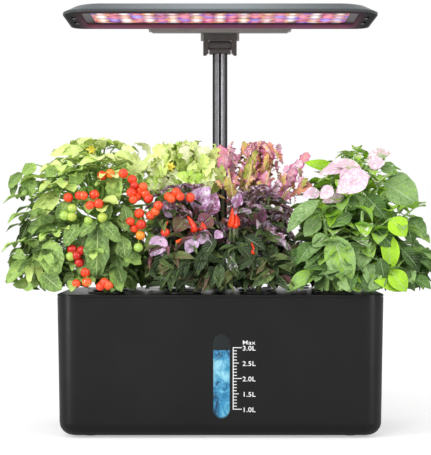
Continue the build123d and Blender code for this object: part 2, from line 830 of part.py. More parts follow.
with BuildPart() as mast_head:
    # lower collar, with both its long edges rounded into a band
    with BuildSketch(Plane.YZ):
        with Locations((mast_y, head_collar_bottom + head_collar_height / 2)):
            RectangleRounded(head_collar_depth, head_collar_height, head_edge)
    extrude(amount=barrel_length / 2, both=True)
    # barrel round the tilt pin
    with BuildSketch(Plane.YZ):
        with Locations((mast_y, tilt_z)):
            Circle(barrel_radius)
            Circle(pin_radius + pin_fit, mode=Mode.SUBTRACT)
    extrude(amount=barrel_length / 2, both=True)
    # the mast stands in the collar
    with BuildSketch(Plane.XY.offset(head_collar_bottom)):
        with Locations((-lobe_offset, mast_y), (lobe_offset, mast_y)):
            Circle(lobe_radius)
    extrude(amount=mast_top - head_collar_bottom, mode=Mode.SUBTRACT)
mast_head.part.label = "mast_head"
export_step(mast_head.part, "parts/mast_head.step")

# ================= Lamp: yoke and hinge =================

with BuildPart() as lamp_yoke:
    # a crown block with two cheeks, their lower corners cut
    with BuildSketch(Plane.XZ.offset(-mast_y)):
        with BuildLine():
            half, inner = yoke_width / 2, yoke_gap / 2
            Polyline(
                (-half, yoke_bottom), (-half, hinge_bottom), (half, hinge_bottom),
                (half, yoke_bottom), (inner + yoke_corner, yoke_bottom),
                (inner, yoke_bottom + yoke_corner), (inner, yoke_crown), (-inner, yoke_crown),
                (-inner, yoke_bottom + yoke_corner), (-inner - yoke_corner, yoke_bottom),
                close=True,
            )
        make_face()
    extrude(amount=yoke_depth / 2, both=True)
    fillet(lamp_yoke.edges().filter_by(Axis.X).group_by(Axis.Z)[0], yoke_depth / 4)
    with BuildSketch(Plane.YZ.offset(-half)):
        with Locations((mast_y, tilt_z)):
            Circle(pin_radius)
    extrude(amount=yoke_width, mode=Mode.SUBTRACT)
    with BuildSketch(Plane.YZ.offset(-half)):
        with Locations((mast_y, tilt_z)):
            Circle(pin_head_radius)
    extrude(amount=pin_head, mode=Mode.SUBTRACT)
    with BuildSketch(Plane.YZ.offset(half)):
        with Locations((mast_y, tilt_z)):
            Circle(pin_head_radius)
    extrude(amount=-pin_head, mode=Mode.SUBTRACT)
    with BuildSketch(Plane.XY.offset(hinge_bottom)):
        with Locations((-yoke_screw_x, mast_y), (yoke_screw_x, mast_y)):
            Circle(yoke_screw_radius)
    extrude(amount=yoke_crown - hinge_bottom, mode=Mode.SUBTRACT)
lamp_yoke.part.label = "lamp_yoke"
export_step(lamp_yoke.part, "parts/lamp_yoke.step")

with BuildPart() as tilt_pin:
    with BuildSketch(Plane.YZ.offset(-half)):
        with Locations((mast_y, tilt_z)):
            Circle(pin_radius)
    extrude(amount=yoke_width)
    with BuildSketch(Plane.YZ.offset(-half)):
        with Locations((mast_y, tilt_z)):
            Circle(pin_head_radius)
    extrude(amount=pin_head)
    with BuildSketch(Plane.YZ.offset(half)):
        with Locations((mast_y, tilt_z)):
            Circle(pin_head_radius)
    extrude(amount=-pin_head)
tilt_pin.part.label = "tilt_pin"
export_step(tilt_pin.part, "parts/tilt_pin.step")

washer_thick = (yoke_gap - barrel_length) / 2 - pin_fit
with BuildPart() as friction_washers:
    for side in (-1, 1):
        with BuildSketch(Plane.YZ.offset(side * yoke_gap / 2)):
            with Locations((mast_y, tilt_z)):
                Circle(washer_radius)
                Circle(pin_radius, mode=Mode.SUBTRACT)
        extrude(amount=-side * washer_thick)
friction_washers.part.label = "friction_washers"
export_step(friction_washers.part, "parts/friction_washers.step")

# ================= Lamp: housing, tray and lights =================

tray_inset = lamp_wall + tray_fit
lip_screw_y = hinge_front + (lamp_back - hinge_front) / 2 - lamp_wall / 2
lip_screw_x = (hinge_width / 2 - lip_screw_inset, hinge_width / 6)
lip_screws = [(side * x, lip_screw_y) for x in lip_screw_x for side in (-1, 1)]
keyhole_reach = keyhole_length / 2 - lamp_screw_head_radius - lamp_screw_inset
keyhole_screws = [(side * keyhole_x, y + keyhole_reach) for side in (-1, 1) for y in keyhole_y]


def lamp_outline(z, inset_x, inset_y, sharper):
    """The lamp's outline at height z, drawn in from its sides, with its wider corners in front."""
    with BuildSketch(Plane.XY.offset(z)) as outline:
        with Locations((0, lamp_y)):
            Rectangle(lamp_width - 2 * inset_x, lamp_depth - 2 * inset_y)
        fillet(outline.vertices().group_by(Axis.Y)[0], lamp_front_corner - sharper)
        fillet(outline.vertices().group_by(Axis.Y)[-1], lamp_corner - sharper)
    return outline.sketch


with BuildPart() as lamp_cavity:
    loft([
        lamp_outline(lamp_bottom, lamp_wall, lamp_wall, lamp_wall),
        lamp_outline(lamp_bottom + lamp_rim, lamp_wall, lamp_wall, lamp_wall),
        lamp_outline(lamp_bottom + lamp_rim + lamp_rise - lamp_wall, lamp_inset_x + lamp_wall / 2,
                     lamp_inset_y + lamp_wall / 2, lamp_wall),
    ], ruled=True)

with BuildPart() as lamp_housing:
    loft([
        lamp_outline(lamp_bottom, 0, 0, 0),
        lamp_outline(lamp_bottom + lamp_rim, 0, 0, 0),
        lamp_outline(lamp_bottom + lamp_rim + lamp_rise, lamp_inset_x, lamp_inset_y, 0),
    ], ruled=True)
    fillet(lamp_housing.faces().sort_by(Axis.Z)[-1].edges(), lamp_rise / 3)
    add(lamp_cavity.part, mode=Mode.SUBTRACT)
    # bosses that take the tray's screws
    with BuildSketch(Plane.XY.offset(tray_top)):
        with Locations(*keyhole_screws):
            Circle(lamp_boss_radius)
            Circle(lamp_screw_radius, mode=Mode.SUBTRACT)
    extrude(amount=lamp_boss_height)
lamp_housing.part.label = "lamp_housing"
export_step(lamp_housing.part, "parts/lamp_housing.step")

with BuildPart() as lamp_tray:
    extrude(lamp_outline(lamp_bottom, tray_inset, tray_inset, tray_inset), amount=tray_thick)
    with BuildSketch(Plane.XY.offset(lamp_bottom)):
        with Locations((0, well_y)):
            RectangleRounded(well_width, well_depth, well_corner)
        with Locations(*keyhole_screws, *lip_screws):
            Circle(lamp_screw_radius)
    extrude(amount=tray_thick, mode=Mode.SUBTRACT)
    with BuildSketch(Plane.XY.offset(lamp_bottom)):
        with Locations(*[(side * keyhole_x, y) for side in (-1, 1) for y in keyhole_y]):
            SlotOverall(keyhole_length, keyhole_width, rotation=90)
    extrude(amount=keyhole_sink, mode=Mode.SUBTRACT)
lamp_tray.part.label = "lamp_tray"
export_step(lamp_tray.part, "parts/lamp_tray.step")

with BuildPart() as lamp_screws:
    with BuildSketch(Plane.XY.offset(lamp_bottom + keyhole_sink)):
        with Locations(*keyhole_screws):
            Circle(lamp_screw_radius)
    extrude(amount=tray_thick - keyhole_sink + board_gap)
    with BuildSketch(Plane.XY.offset(lamp_bottom + keyhole_sink)):
        with Locations(*keyhole_screws):
            Circle(lamp_screw_head_radius)
    extrude(amount=-lamp_screw_head)
    with BuildSketch(Plane.XY.offset(lip_bottom)):
        with Locations(*lip_screws):
            Circle(lamp_screw_radius)
    extrude(amount=hinge_drop + tray_thick)
lamp_screws.part.label = "lamp_screws"
export_step(lamp_screws.part, "parts/lamp_screws.step")

with BuildPart() as led_board:
    with BuildSketch(Plane.XY.offset(led_board_z)):
        with Locations((0, well_y)):
            RectangleRounded(well_width + 2 * board_margin, well_depth + 2 * board_margin,
                             board_corner)
    extrude(amount=board_thick)
led_board.part.label = "led_board"
export_step(led_board.part, "parts/led_board.step")

with BuildPart() as reflector:
    # sloping frame between the tray's opening and the board
    with BuildSketch(Plane.XY.offset(tray_top)):
        with Locations((0, well_y)):
            RectangleRounded(well_width + 2 * board_margin, well_depth + 2 * board_margin,
                             board_corner)
    extrude(amount=board_gap)
    with BuildSketch(Plane.XY.offset(tray_top)):
        with Locations((0, well_y)):
            RectangleRounded(well_width, well_depth, well_corner)
    with BuildSketch(Plane.XY.offset(led_board_z)):
        with Locations((0, well_y)):
            RectangleRounded(well_width - 2 * reflector_end + 2 * board_margin,
                             well_depth - 2 * reflector_side + board_margin, well_corner)
    loft(ruled=True, mode=Mode.SUBTRACT)
reflector.part.label = "reflector"
export_step(reflector.part, "parts/reflector.step")

for led_name, letter in (("white_leds", "W"), ("red_leds", "R"), ("blue_leds", "B")):
    spots = []
    for line in (-1, 0, 1):
        for place in range(led_columns):
            if led_pattern[(place + 2 * line) % len(led_pattern)] == letter:
                spots.append(((place - (led_columns - 1) / 2) * led_pitch,
                              well_y + line * led_row_pitch))
    with BuildPart() as leds:
        with BuildSketch(Plane.XY.offset(led_board_z)):
            with Locations(*spots):
                Rectangle(led_size, led_size)
        extrude(amount=-led_height)
    leds.part.label = led_name
    export_step(leds.part, f"parts/{led_name}.step")

# ================= Lamp: hinge housing and driver =================

back_start = lamp_back + hinge_behind_gap
hinge_mid_y = (back_start + hinge_back) / 2
lip_back = back_start + hinge_wall
lid_bottom = hinge_top - hinge_lid_thick
bay_width = hinge_width - 2 * hinge_wall
bay_depth = hinge_back - back_start - 2 * hinge_wall

with BuildPart() as hinge_housing:
    # the lip under the lamp's back rim, narrower at its underside
    with BuildSketch(Plane.XY.offset(lamp_bottom)):
        with Locations((0, (hinge_front + lip_back) / 2)):
            Rectangle(hinge_width, lip_back - hinge_front)
    with BuildSketch(Plane.XY.offset(lip_bottom)):
        with Locations((0, (hinge_front + lip_back) / 2)):
            Rectangle(hinge_width - 2 * hinge_side_taper, lip_back - hinge_front)
    loft(ruled=True)
    # the box behind it, which stands a step higher
    with BuildSketch(Plane.XY.offset(hinge_bottom)):
        with Locations((0, hinge_mid_y)):
            Rectangle(hinge_width, hinge_back - back_start)
    extrude(amount=hinge_top - hinge_bottom)
    fillet(hinge_housing.edges().filter_by(Axis.Z).group_by(Axis.Y)[-1], 2 * hinge_wall)
    # driver bay, stepped at the top to take the lid
    with BuildSketch(Plane.XY.offset(hinge_bottom + hinge_wall)):
        with Locations((0, hinge_mid_y)):
            Rectangle(bay_width - 2 * hinge_side_taper, bay_depth)
    extrude(amount=hinge_top - hinge_bottom, mode=Mode.SUBTRACT)
    with BuildSketch(Plane.XY.offset(lid_bottom)):
        with Locations((0, hinge_mid_y)):
            Rectangle(bay_width - 2 * hinge_side_taper + 2 * hinge_lid_ledge,
                      bay_depth + 2 * hinge_lid_ledge)
    extrude(amount=hinge_lid_thick, mode=Mode.SUBTRACT)
    # posts for the driver board
    with BuildSketch(Plane.XY.offset(hinge_bottom + hinge_wall)):
        with Locations((-driver_width / 2 + driver_depth / 4, hinge_mid_y),
                       (driver_width / 2 - driver_depth / 4, hinge_mid_y)):
            Circle(driver_screw_radius + driver_post / 2)
    extrude(amount=yoke_screw_head + driver_post)
    # ears on each side of the yoke
    with BuildSketch(Plane.XY.offset(hinge_bottom)):
        with Locations(*[(side * (yoke_width / 2 + ear_gap + ear_thick / 2), mast_y)
                         for side in (-1, 1)]):
            RectangleRounded(ear_thick, ear_depth, ear_thick / 3)
    extrude(amount=-ear_drop)
    with BuildSketch(Plane.XY.offset(lip_bottom)):
        with Locations(*lip_screws):
            Circle(lamp_screw_radius)
    extrude(amount=hinge_drop, mode=Mode.SUBTRACT)
    with BuildSketch(Plane.XY.offset(hinge_bottom)):
        with Locations((-yoke_screw_x, mast_y), (yoke_screw_x, mast_y)):
            Circle(yoke_screw_radius)
    extrude(amount=hinge_wall, mode=Mode.SUBTRACT)
hinge_housing.part.label = "hinge_housing"
export_step(hinge_housing.part, "parts/hinge_housing.step")

with BuildPart() as hinge_lid:
    with BuildSketch(Plane.XY.offset(lid_bottom)):
        with Locations((0, hinge_mid_y)):
            Rectangle(bay_width - 2 * (hinge_side_taper + tray_fit / 2) + 2 * hinge_lid_ledge,
                      bay_depth + 2 * hinge_lid_ledge - tray_fit)
    extrude(amount=hinge_lid_thick)
hinge_lid.part.label = "hinge_lid"
export_step(hinge_lid.part, "parts/hinge_lid.step")

with BuildPart() as driver_board:
    with BuildSketch(Plane.XY.offset(hinge_bottom + hinge_wall + yoke_screw_head + driver_post)):
        with Locations((0, hinge_mid_y)):
            Rectangle(driver_width, driver_depth)
    extrude(amount=driver_thick)
driver_board.part.label = "driver_board"
export_step(driver_board.part, "parts/driver_board.step")

with BuildPart() as yoke_screws:
    with BuildSketch(Plane.XY.offset(hinge_bottom + hinge_wall)):
        with Locations((-yoke_screw_x, mast_y), (yoke_screw_x, mast_y)):
            Circle(yoke_screw_radius)
    extrude(amount=yoke_crown - hinge_bottom - hinge_wall)
    with BuildSketch(Plane.XY.offset(hinge_bottom + hinge_wall)):
        with Locations((-yoke_screw_x, mast_y), (yoke_screw_x, mast_y)):
            Circle(yoke_screw_head_radius)
    extrude(amount=yoke_screw_head)
yoke_screws.part.label = "yoke_screws"
export_step(yoke_screws.part, "parts/yoke_screws.step")
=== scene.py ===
"""Countertop hydroponic garden: finishes, water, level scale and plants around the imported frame.

Blender works in metres; sizes and places below are written in millimetres times MM.
+Z is up, +X is to the right seen from the front, and the front faces -Y.
"""
import math
import random
from contextlib import contextmanager

import bpy
import numpy as np
from mathutils import Matrix, Vector


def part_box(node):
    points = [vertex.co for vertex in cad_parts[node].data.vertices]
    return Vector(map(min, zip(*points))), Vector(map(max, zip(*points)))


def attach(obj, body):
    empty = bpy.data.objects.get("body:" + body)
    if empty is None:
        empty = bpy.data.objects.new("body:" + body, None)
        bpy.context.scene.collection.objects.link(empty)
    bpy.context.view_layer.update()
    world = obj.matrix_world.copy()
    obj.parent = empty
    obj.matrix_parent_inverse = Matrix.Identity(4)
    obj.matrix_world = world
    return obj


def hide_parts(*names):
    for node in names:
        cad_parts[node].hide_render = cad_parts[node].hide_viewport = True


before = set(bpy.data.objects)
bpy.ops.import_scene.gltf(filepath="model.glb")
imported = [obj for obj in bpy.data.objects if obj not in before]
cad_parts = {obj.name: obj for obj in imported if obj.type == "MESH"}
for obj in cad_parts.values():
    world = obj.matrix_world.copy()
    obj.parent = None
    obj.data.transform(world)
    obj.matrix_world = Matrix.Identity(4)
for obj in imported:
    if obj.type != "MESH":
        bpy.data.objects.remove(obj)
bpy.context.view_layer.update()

bl_info = {
    "name": "Countertop hydroponic garden",
    "version": (1, 0, 0),
    "blender": (4, 5, 0),
    "location": "3D View > Sidebar > Garden",
    "description": "Dresses the garden's frame with finishes, water, a level scale and plants",
    "category": "Object",
}

MM = 0.001
UP = Vector((0, 0, 1))
DRAFT = math.radians(1.0)
EYE = Vector((-4.8, -1382.5, 205)) * MM
LENS_MM = 106.34
SENSOR_MM = 36.0
MIDDLE_PLANE_Y = -38.5 * MM
TANK_LOW, TANK_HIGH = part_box("tank")
# the front wall leans in towards its foot by the mould's draft
WALL_FOOT_Y = TANK_LOW.y + TANK_HIGH.z * math.tan(DRAFT)
DECK_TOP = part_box("grow_deck")[1].z
LENS_LOW, LENS_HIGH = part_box("window_lens")
WINDOW_X = (LENS_LOW.x + LENS_HIGH.x) / 2
WINDOW_Z = (LENS_LOW.z + LENS_HIGH.z) / 2
BOARD_LOW, BOARD_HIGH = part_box("led_board")


def linear(hex_colour):
    """Turns an sRGB hex colour into the linear RGBA that shader sockets take."""
    shares = [int(hex_colour[i:i + 2], 16) / 255 for i in (1, 3, 5)]
    return (*[c / 12.92 if c <= 0.04045 else ((c + 0.055) / 1.055) ** 2.4 for c in shares], 1.0)


# ---- Settings that a user would change ----
class GardenStage(bpy.types.PropertyGroup):
    """Studio round the garden"""
    world_light: bpy.props.FloatProperty(
        name="World light", description="Strength of the soft light from all round", default=0.62)
    key_light: bpy.props.FloatProperty(
        name="Key light", description="Power of the soft box above and in front", default=4.4,
        unit="POWER")
    side_light: bpy.props.FloatProperty(
        name="Side strips", description="Power of each tall strip that draws the tank's corners",
        default=9.0, unit="POWER")
    top_light: bpy.props.FloatProperty(
        name="Top light", description="Power of the narrow light that shines on the lamp's slope",
        default=1.5, unit="POWER")
    glint_light: bpy.props.FloatProperty(
        name="Glints", description="Power of the small box that glints on fruits and wax",
        default=3.6, unit="POWER")
    floor_lift: bpy.props.FloatProperty(
        name="Floor lift", description="White that the floor shows to the camera beside its light",
        default=0.58)


class GardenWater(bpy.types.PropertyGroup):
    """Water behind the level window"""
    level: bpy.props.FloatProperty(
        name="Level", description="Height of the water's surface over the worktop",
        default=85.6 * MM, unit="LENGTH")
    deep: bpy.props.FloatVectorProperty(
        name="Deep", description="Colour of the water's shadows", size=4, subtype="COLOR",
        default=linear("#2a78a6"))
    bright: bpy.props.FloatVectorProperty(
        name="Bright", description="Colour of the water's bright swirls", size=4, subtype="COLOR",
        default=linear("#a3c8d8"))


class GardenScale(bpy.types.PropertyGroup):
    """Print beside the level window"""
    print_height: bpy.props.FloatProperty(
        name="Figure height", description="Height of the printed figures", default=4.9 * MM,
        unit="LENGTH")
    print_thickness: bpy.props.FloatProperty(
        name="Ink", description="Thickness of the printed ink", default=0.08 * MM, unit="LENGTH")


class GardenPlants(bpy.types.PropertyGroup):
    """Growth of the plants"""
    seed: bpy.props.IntProperty(
        name="Seed", description="Starts the random draws that vary the leaves", default=7)
    fruit_radius: bpy.props.FloatProperty(
        name="Tomato radius", description="Radius of a ripe cherry tomato", default=4.6 * MM,
        unit="LENGTH")
    leaf_gloss: bpy.props.FloatProperty(
        name="Leaf roughness", description="Roughness of the waxy upper skin of the leaves",
        default=0.42, subtype="FACTOR")


# ---- Small tools ----
def clear_selection():
    """Leaves edit mode and deselects everything, so that the next operator acts on its piece."""
    if bpy.context.object and bpy.context.object.mode != "OBJECT":
        bpy.ops.object.mode_set(mode="OBJECT")
    bpy.ops.object.select_all(action="DESELECT")


def pick(*objects):
    """Selects these objects and makes the first one active."""
    clear_selection()
    for item in objects:
        item.select_set(True)
    bpy.context.view_layer.objects.active = objects[0]


@contextmanager
def whole_mesh(item):
    """Edit mode with the whole of a piece selected."""
    pick(item)
    bpy.ops.object.mode_set(mode="EDIT")
    bpy.ops.mesh.select_all(action="SELECT")
    yield
    bpy.ops.object.mode_set(mode="OBJECT")


def settle(item, name, finish, body):
    """Names a finished piece, bakes its place into its mesh, dresses it and lets it ride."""
    pick(item)
    bpy.ops.object.transform_apply(location=True, rotation=True, scale=True)
    item.name = name
    item.data.name = name
    item.data.materials.clear()
    item.data.materials.append(finish)
    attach(item, body)
    return item


def in_sight(x, z, y):
    """The point at depth y that covers the point (x, z) of the plants' middle plane, in mm."""
    share = (y * MM - EYE.y) / (MIDDLE_PLANE_Y - EYE.y)
    return Vector((EYE.x + (x * MM - EYE.x) * share, y * MM, EYE.z + (z * MM - EYE.z) * share))


# ---- Finishes ----
# a Mix node has several inputs called A and B, and these are the places of those for colours
MIX_A, MIX_B = 6, 7
# scales of the fine grain of moulded parts and of the soft patches of light that LEDs throw
FINE_GRAIN = 1600.0
LIGHT_PATCHES = 60.0


def connect(tree, node, inputs):
    """Sets or links a node's inputs. An input given as a node takes its first output in use."""
    for socket, value in inputs.items():
        if isinstance(value, bpy.types.Node):
            value = next(output for output in value.outputs if output.enabled)
        if isinstance(value, bpy.types.NodeSocket):
            tree.links.new(value, node.inputs[socket])
        else:
            node.inputs[socket].default_value = value


def add(tree, kind, inputs=None, stops=(), **settings):
    """Adds a shader node with its settings, its inputs and the colour stops of its ramp."""
    made = tree.nodes.new("ShaderNode" + kind)
    for name, value in settings.items():
        setattr(made, name, value)
    connect(tree, made, inputs or {})
    if stops:
        elements = made.color_ramp.elements
        while len(elements) < len(stops):
            elements.new(1.0)
        for element, (position, colour) in zip(elements, stops):
            element.position = position
            element.color = linear(colour)
    return made


def new_finish(name, **constants):
    """Makes a material with one Principled shader, whose even values are set on its own sockets.
    Gives the material, its tree, the shader and the place on the piece that its grain follows."""
    finish = bpy.data.materials.new(name)
    finish.use_nodes = True
    tree = finish.node_tree
    tree.nodes.clear()
    shader = add(tree, "BsdfPrincipled",
                 {socket.replace("_", " "): value for socket, value in constants.items()})
    add(tree, "OutputMaterial", {"Surface": shader})
    return finish, tree, shader, add(tree, "TexCoord").outputs["Object"]


def grained(name, scale, stops, roughness=None, detail=2.0, **constants):
    """Material whose tone follows one fine grain, as does its roughness where it has a range."""
    finish, tree, shader, place = new_finish(name, **constants)
    grain = add(tree, "TexNoise", {"Vector": place, "Scale": scale, "Detail": detail})
    connect(tree, shader, {"Base Color": add(tree, "ValToRGB", {"Fac": grain}, stops=stops)})
    if roughness:
        connect(tree, shader, {"Roughness": add(tree, "MapRange", {
            "Value": grain, "To Min": roughness[0], "To Max": roughness[1]})})
    return finish


def moulded_abs(name, colour, worn_colour, roughness, grain, specular):
    """Injection-moulded ABS. The mould's spark-eroded grain spreads the light into a soft sheen,
    and the colour drifts a little where hands and cloths have polished it."""
    finish, tree, shader, place = new_finish(name, Specular_IOR_Level=specular)
    pits = add(tree, "TexNoise", {"Vector": place, "Scale": 1 / grain, "Detail": 3.0})
    cloud = add(tree, "TexNoise", {"Vector": place, "Scale": 22.0, "Detail": 3.0})
    tone = add(tree, "Mix", {"Factor": cloud, MIX_A: linear(colour),
                             MIX_B: linear(worn_colour)}, data_type="RGBA")
    rough = add(tree, "MapRange", {"Value": cloud, "From Min": 0.3, "From Max": 0.7,
                                   "To Min": roughness - 0.05, "To Max": roughness + 0.05})
    bump = add(tree, "Bump", {"Height": pits, "Strength": 0.35, "Distance": 0.12 * MM})
    connect(tree, shader, {"Base Color": tone, "Roughness": rough, "Normal": bump})
    return finish


def lamp_shell_abs():
    """Injection-moulded ABS of the lamp's shell with a fine satin grain. Its upper slopes are
    painted paler as lit from above, with a painted highlight across their middle, and its
    underside is painted darker as shade."""
    finish, tree, shader, place = new_finish("lamp_shell_abs", Specular_IOR_Level=0.08,
                                             Roughness=0.35)
    facing = add(tree, "SeparateXYZ", {"Vector": add(tree, "TexCoord").outputs["Normal"]})
    upward = add(tree, "MapRange", {"Value": facing.outputs["Z"], "From Min": -0.3,
                                    "From Max": 0.3})
    grain = add(tree, "TexNoise", {"Vector": place, "Scale": FINE_GRAIN, "Detail": 3.0})
    # painted shade on the downward faces and painted light on the upward ones
    below = add(tree, "ValToRGB", {"Fac": grain}, stops=((0.3, "#171718"), (0.7, "#1f1f20")))
    above = add(tree, "ValToRGB", {"Fac": grain}, stops=((0.3, "#55595b"), (0.7, "#64686a")))
    off_middle = add(tree, "Math", {0: add(tree, "SeparateXYZ", {"Vector": place})},
                     operation="ABSOLUTE")
    # a painted highlight across the middle of the upper slopes, fading towards both ends
    middle_highlight = add(tree, "MapRange", {"Value": off_middle, "From Min": 20 * MM, "From Max": 120 * MM,
                                  "To Min": 0.9, "To Max": 0.0})
    above = add(tree, "Mix", {"Factor": middle_highlight, MIX_A: above, MIX_B: linear("#7e868a")},
                data_type="RGBA")
    tone = add(tree, "Mix", {"Factor": upward, MIX_A: below, MIX_B: above}, data_type="RGBA")
    bump = add(tree, "Bump", {"Height": grain, "Strength": 0.3, "Distance": 0.1 * MM})
    connect(tree, shader, {"Base Color": tone, "Normal": bump})
    return finish


def lit_tray_abs():
    """Black ABS of the lamp's frame. The LEDs' light falls on its rim in soft red and plum spots,
    more behind the well than in front of it, and fades towards both ends."""
    finish, tree, shader, place = new_finish("lit_tray_abs", Specular_IOR_Level=0.03,
                                             Roughness=0.5, Emission_Strength=1.0)
    axes = add(tree, "SeparateXYZ", {"Vector": place})
    grain = add(tree, "TexNoise", {"Vector": place, "Scale": FINE_GRAIN, "Detail": 3.0})
    tone = add(tree, "ValToRGB", {"Fac": grain}, stops=((0.3, "#161617"), (0.7, "#1c1c1d")))
    spots = add(tree, "TexNoise", {"Vector": place, "Scale": LIGHT_PATCHES, "Detail": 1.0})
    glow = add(tree, "ValToRGB", {"Fac": spots}, stops=((0.3, "#7e424e"), (0.7, "#7a4268")))
    off_middle = add(tree, "Math", {0: axes}, operation="ABSOLUTE")
    ends = add(tree, "MapRange", {"Value": off_middle, "From Min": BOARD_HIGH.x - 12 * MM,
                                  "From Max": BOARD_HIGH.x + 4 * MM, "To Min": 1.0, "To Max": 0.0})
    behind = add(tree, "MapRange", {"Value": axes.outputs["Y"], "From Min": BOARD_LOW.y,
                                    "From Max": BOARD_HIGH.y, "To Min": 0.12, "To Max": 0.8})
    share = add(tree, "Math", {0: ends, 1: behind}, operation="MULTIPLY")
    spilled = add(tree, "Mix", {"Factor": share, MIX_A: linear("#000000"), MIX_B: glow},
                  data_type="RGBA")
    connect(tree, shader, {"Base Color": tone, "Emission Color": spilled})
    return finish


CREST_X = 3.1 * MM  # how far each lobe's crest lies from the middle of the mast


def anodised_aluminium():
    """Extruded aluminium, anodised dark. The crest of each round lobe is painted pale as a
    highlight between dark flanks, and fine die lines run along it and stretch the light."""
    finish, tree, shader, place = new_finish("anodised_aluminium", Metallic=1.0)
    lines = add(tree, "Mapping", {"Vector": place, "Scale": (1.0, 1.0, 0.02)})
    drawn = add(tree, "TexNoise", {"Vector": lines, "Scale": 2500.0, "Detail": 2.0})
    across = add(tree, "Math", {0: add(tree, "SeparateXYZ", {"Vector": place})},
                 operation="ABSOLUTE")
    off_crest = add(tree, "Math", {0: across, 1: CREST_X}, operation="SUBTRACT")
    near = add(tree, "Math", {0: off_crest}, operation="ABSOLUTE")
    # a painted highlight along the crest of each lobe
    crest_highlight = add(tree, "MapRange", {"Value": near, "From Min": 0.4 * MM, "From Max": 2.6 * MM,
                                   "To Min": 1.0, "To Max": 0.0})
    dark = add(tree, "ValToRGB", {"Fac": drawn}, stops=((0.3, "#1c1c1e"), (0.7, "#2c2c2e")))
    bright = add(tree, "ValToRGB", {"Fac": drawn}, stops=((0.3, "#77777a"), (0.7, "#8f8f92")))
    tone = add(tree, "Mix", {"Factor": crest_highlight, MIX_A: dark, MIX_B: bright}, data_type="RGBA")
    rough = add(tree, "MapRange", {"Value": drawn, "To Min": 0.24, "To Max": 0.4})
    bump = add(tree, "Bump", {"Height": drawn, "Strength": 0.15, "Distance": 0.05 * MM})
    connect(tree, shader, {"Base Color": tone, "Roughness": rough, "Normal": bump})
    return finish


def turned_steel():
    """Zinc-plated steel, turned and rolled: small rings of scratches make its gleam uneven."""
    return grained("turned_steel", 1800.0, ((0.25, "#8f9196"), (0.75, "#c9cbd0")), (0.2, 0.4),
                   detail=4.0, Metallic=1.0)


def moulded_rubber(name, colour):
    """Black rubber with a bloomed, dusty skin that kills nearly all gloss."""
    return grained(name, 260.0, ((0.3, colour), (0.8, "#34342f")), (0.6, 0.85), detail=5.0,
                   Specular_IOR_Level=0.25)


def clear_acrylic(name, roughness):
    """Clear cast acrylic: sharp reflections, and the faintest cool tint where it is thick."""
    return grained(name, 90.0, ((0.2, "#d2ecee"), (0.8, "#e2f6f6")),
                   (roughness, roughness + 0.04), Transmission_Weight=1.0, IOR=1.36)


def circuit_board():
    """Glass-fibre board under green solder mask: paler runs show where copper lies under it."""
    finish, tree, shader, place = new_finish("solder_mask", Specular_IOR_Level=0.5)
    runs = add(tree, "TexBrick", {"Vector": place, "Scale": 320.0, "Mortar Size": 0.03,
                                  "Color1": linear("#12522e"), "Color2": linear("#0f4727"),
                                  "Mortar": linear("#2f8a4f")})
    rough = add(tree, "MapRange", {"Value": runs.outputs["Fac"], "To Min": 0.35, "To Max": 0.22})
    connect(tree, shader, {"Base Color": runs, "Roughness": rough})
    return finish


def grow_sponge():
    """Open-cell peat sponge: dark wet pores between brown cell walls."""
    finish, tree, shader, place = new_finish("grow_sponge", Specular_IOR_Level=0.3, Roughness=0.8)
    cells = add(tree, "TexVoronoi", {"Vector": place, "Scale": 700.0})
    tone = add(tree, "ValToRGB", {"Fac": cells}, stops=((0.1, "#1d140c"), (0.6, "#5b432b")))
    bump = add(tree, "Bump", {"Height": cells, "Strength": 0.8, "Distance": 0.6 * MM})
    connect(tree, shader, {"Base Color": tone, "Normal": bump})
    return finish


def fired_ceramic():
    """Ground alumina: a white shaft with a faint grey speckle."""
    return grained("fired_ceramic", 900.0, ((0.3, "#dcdad2"), (0.5, "#efeeea")), (0.15, 0.3),
                   Specular_IOR_Level=0.6)


LED_PITCH = 12.2 * MM
LED_ROW_PITCH = 22.0 * MM
LED_ROW_STRETCH = 11.0 * MM  # across the board a pool of light reaches twice as far as along it
# distances from an LED at which its pool of light, and the white of its chip, fade and end
LED_POOL = (1.5 * MM, 9.0 * MM)
LED_CORE = (1.0 * MM, 5.5 * MM)
# glows of white, red and blue LEDs, in the order in which they repeat along the board
LED_GLOWS = ("#fff0e0", "#f8307c", "#ffc470", "#7456ff", "#f4f0ff", "#e83a86")


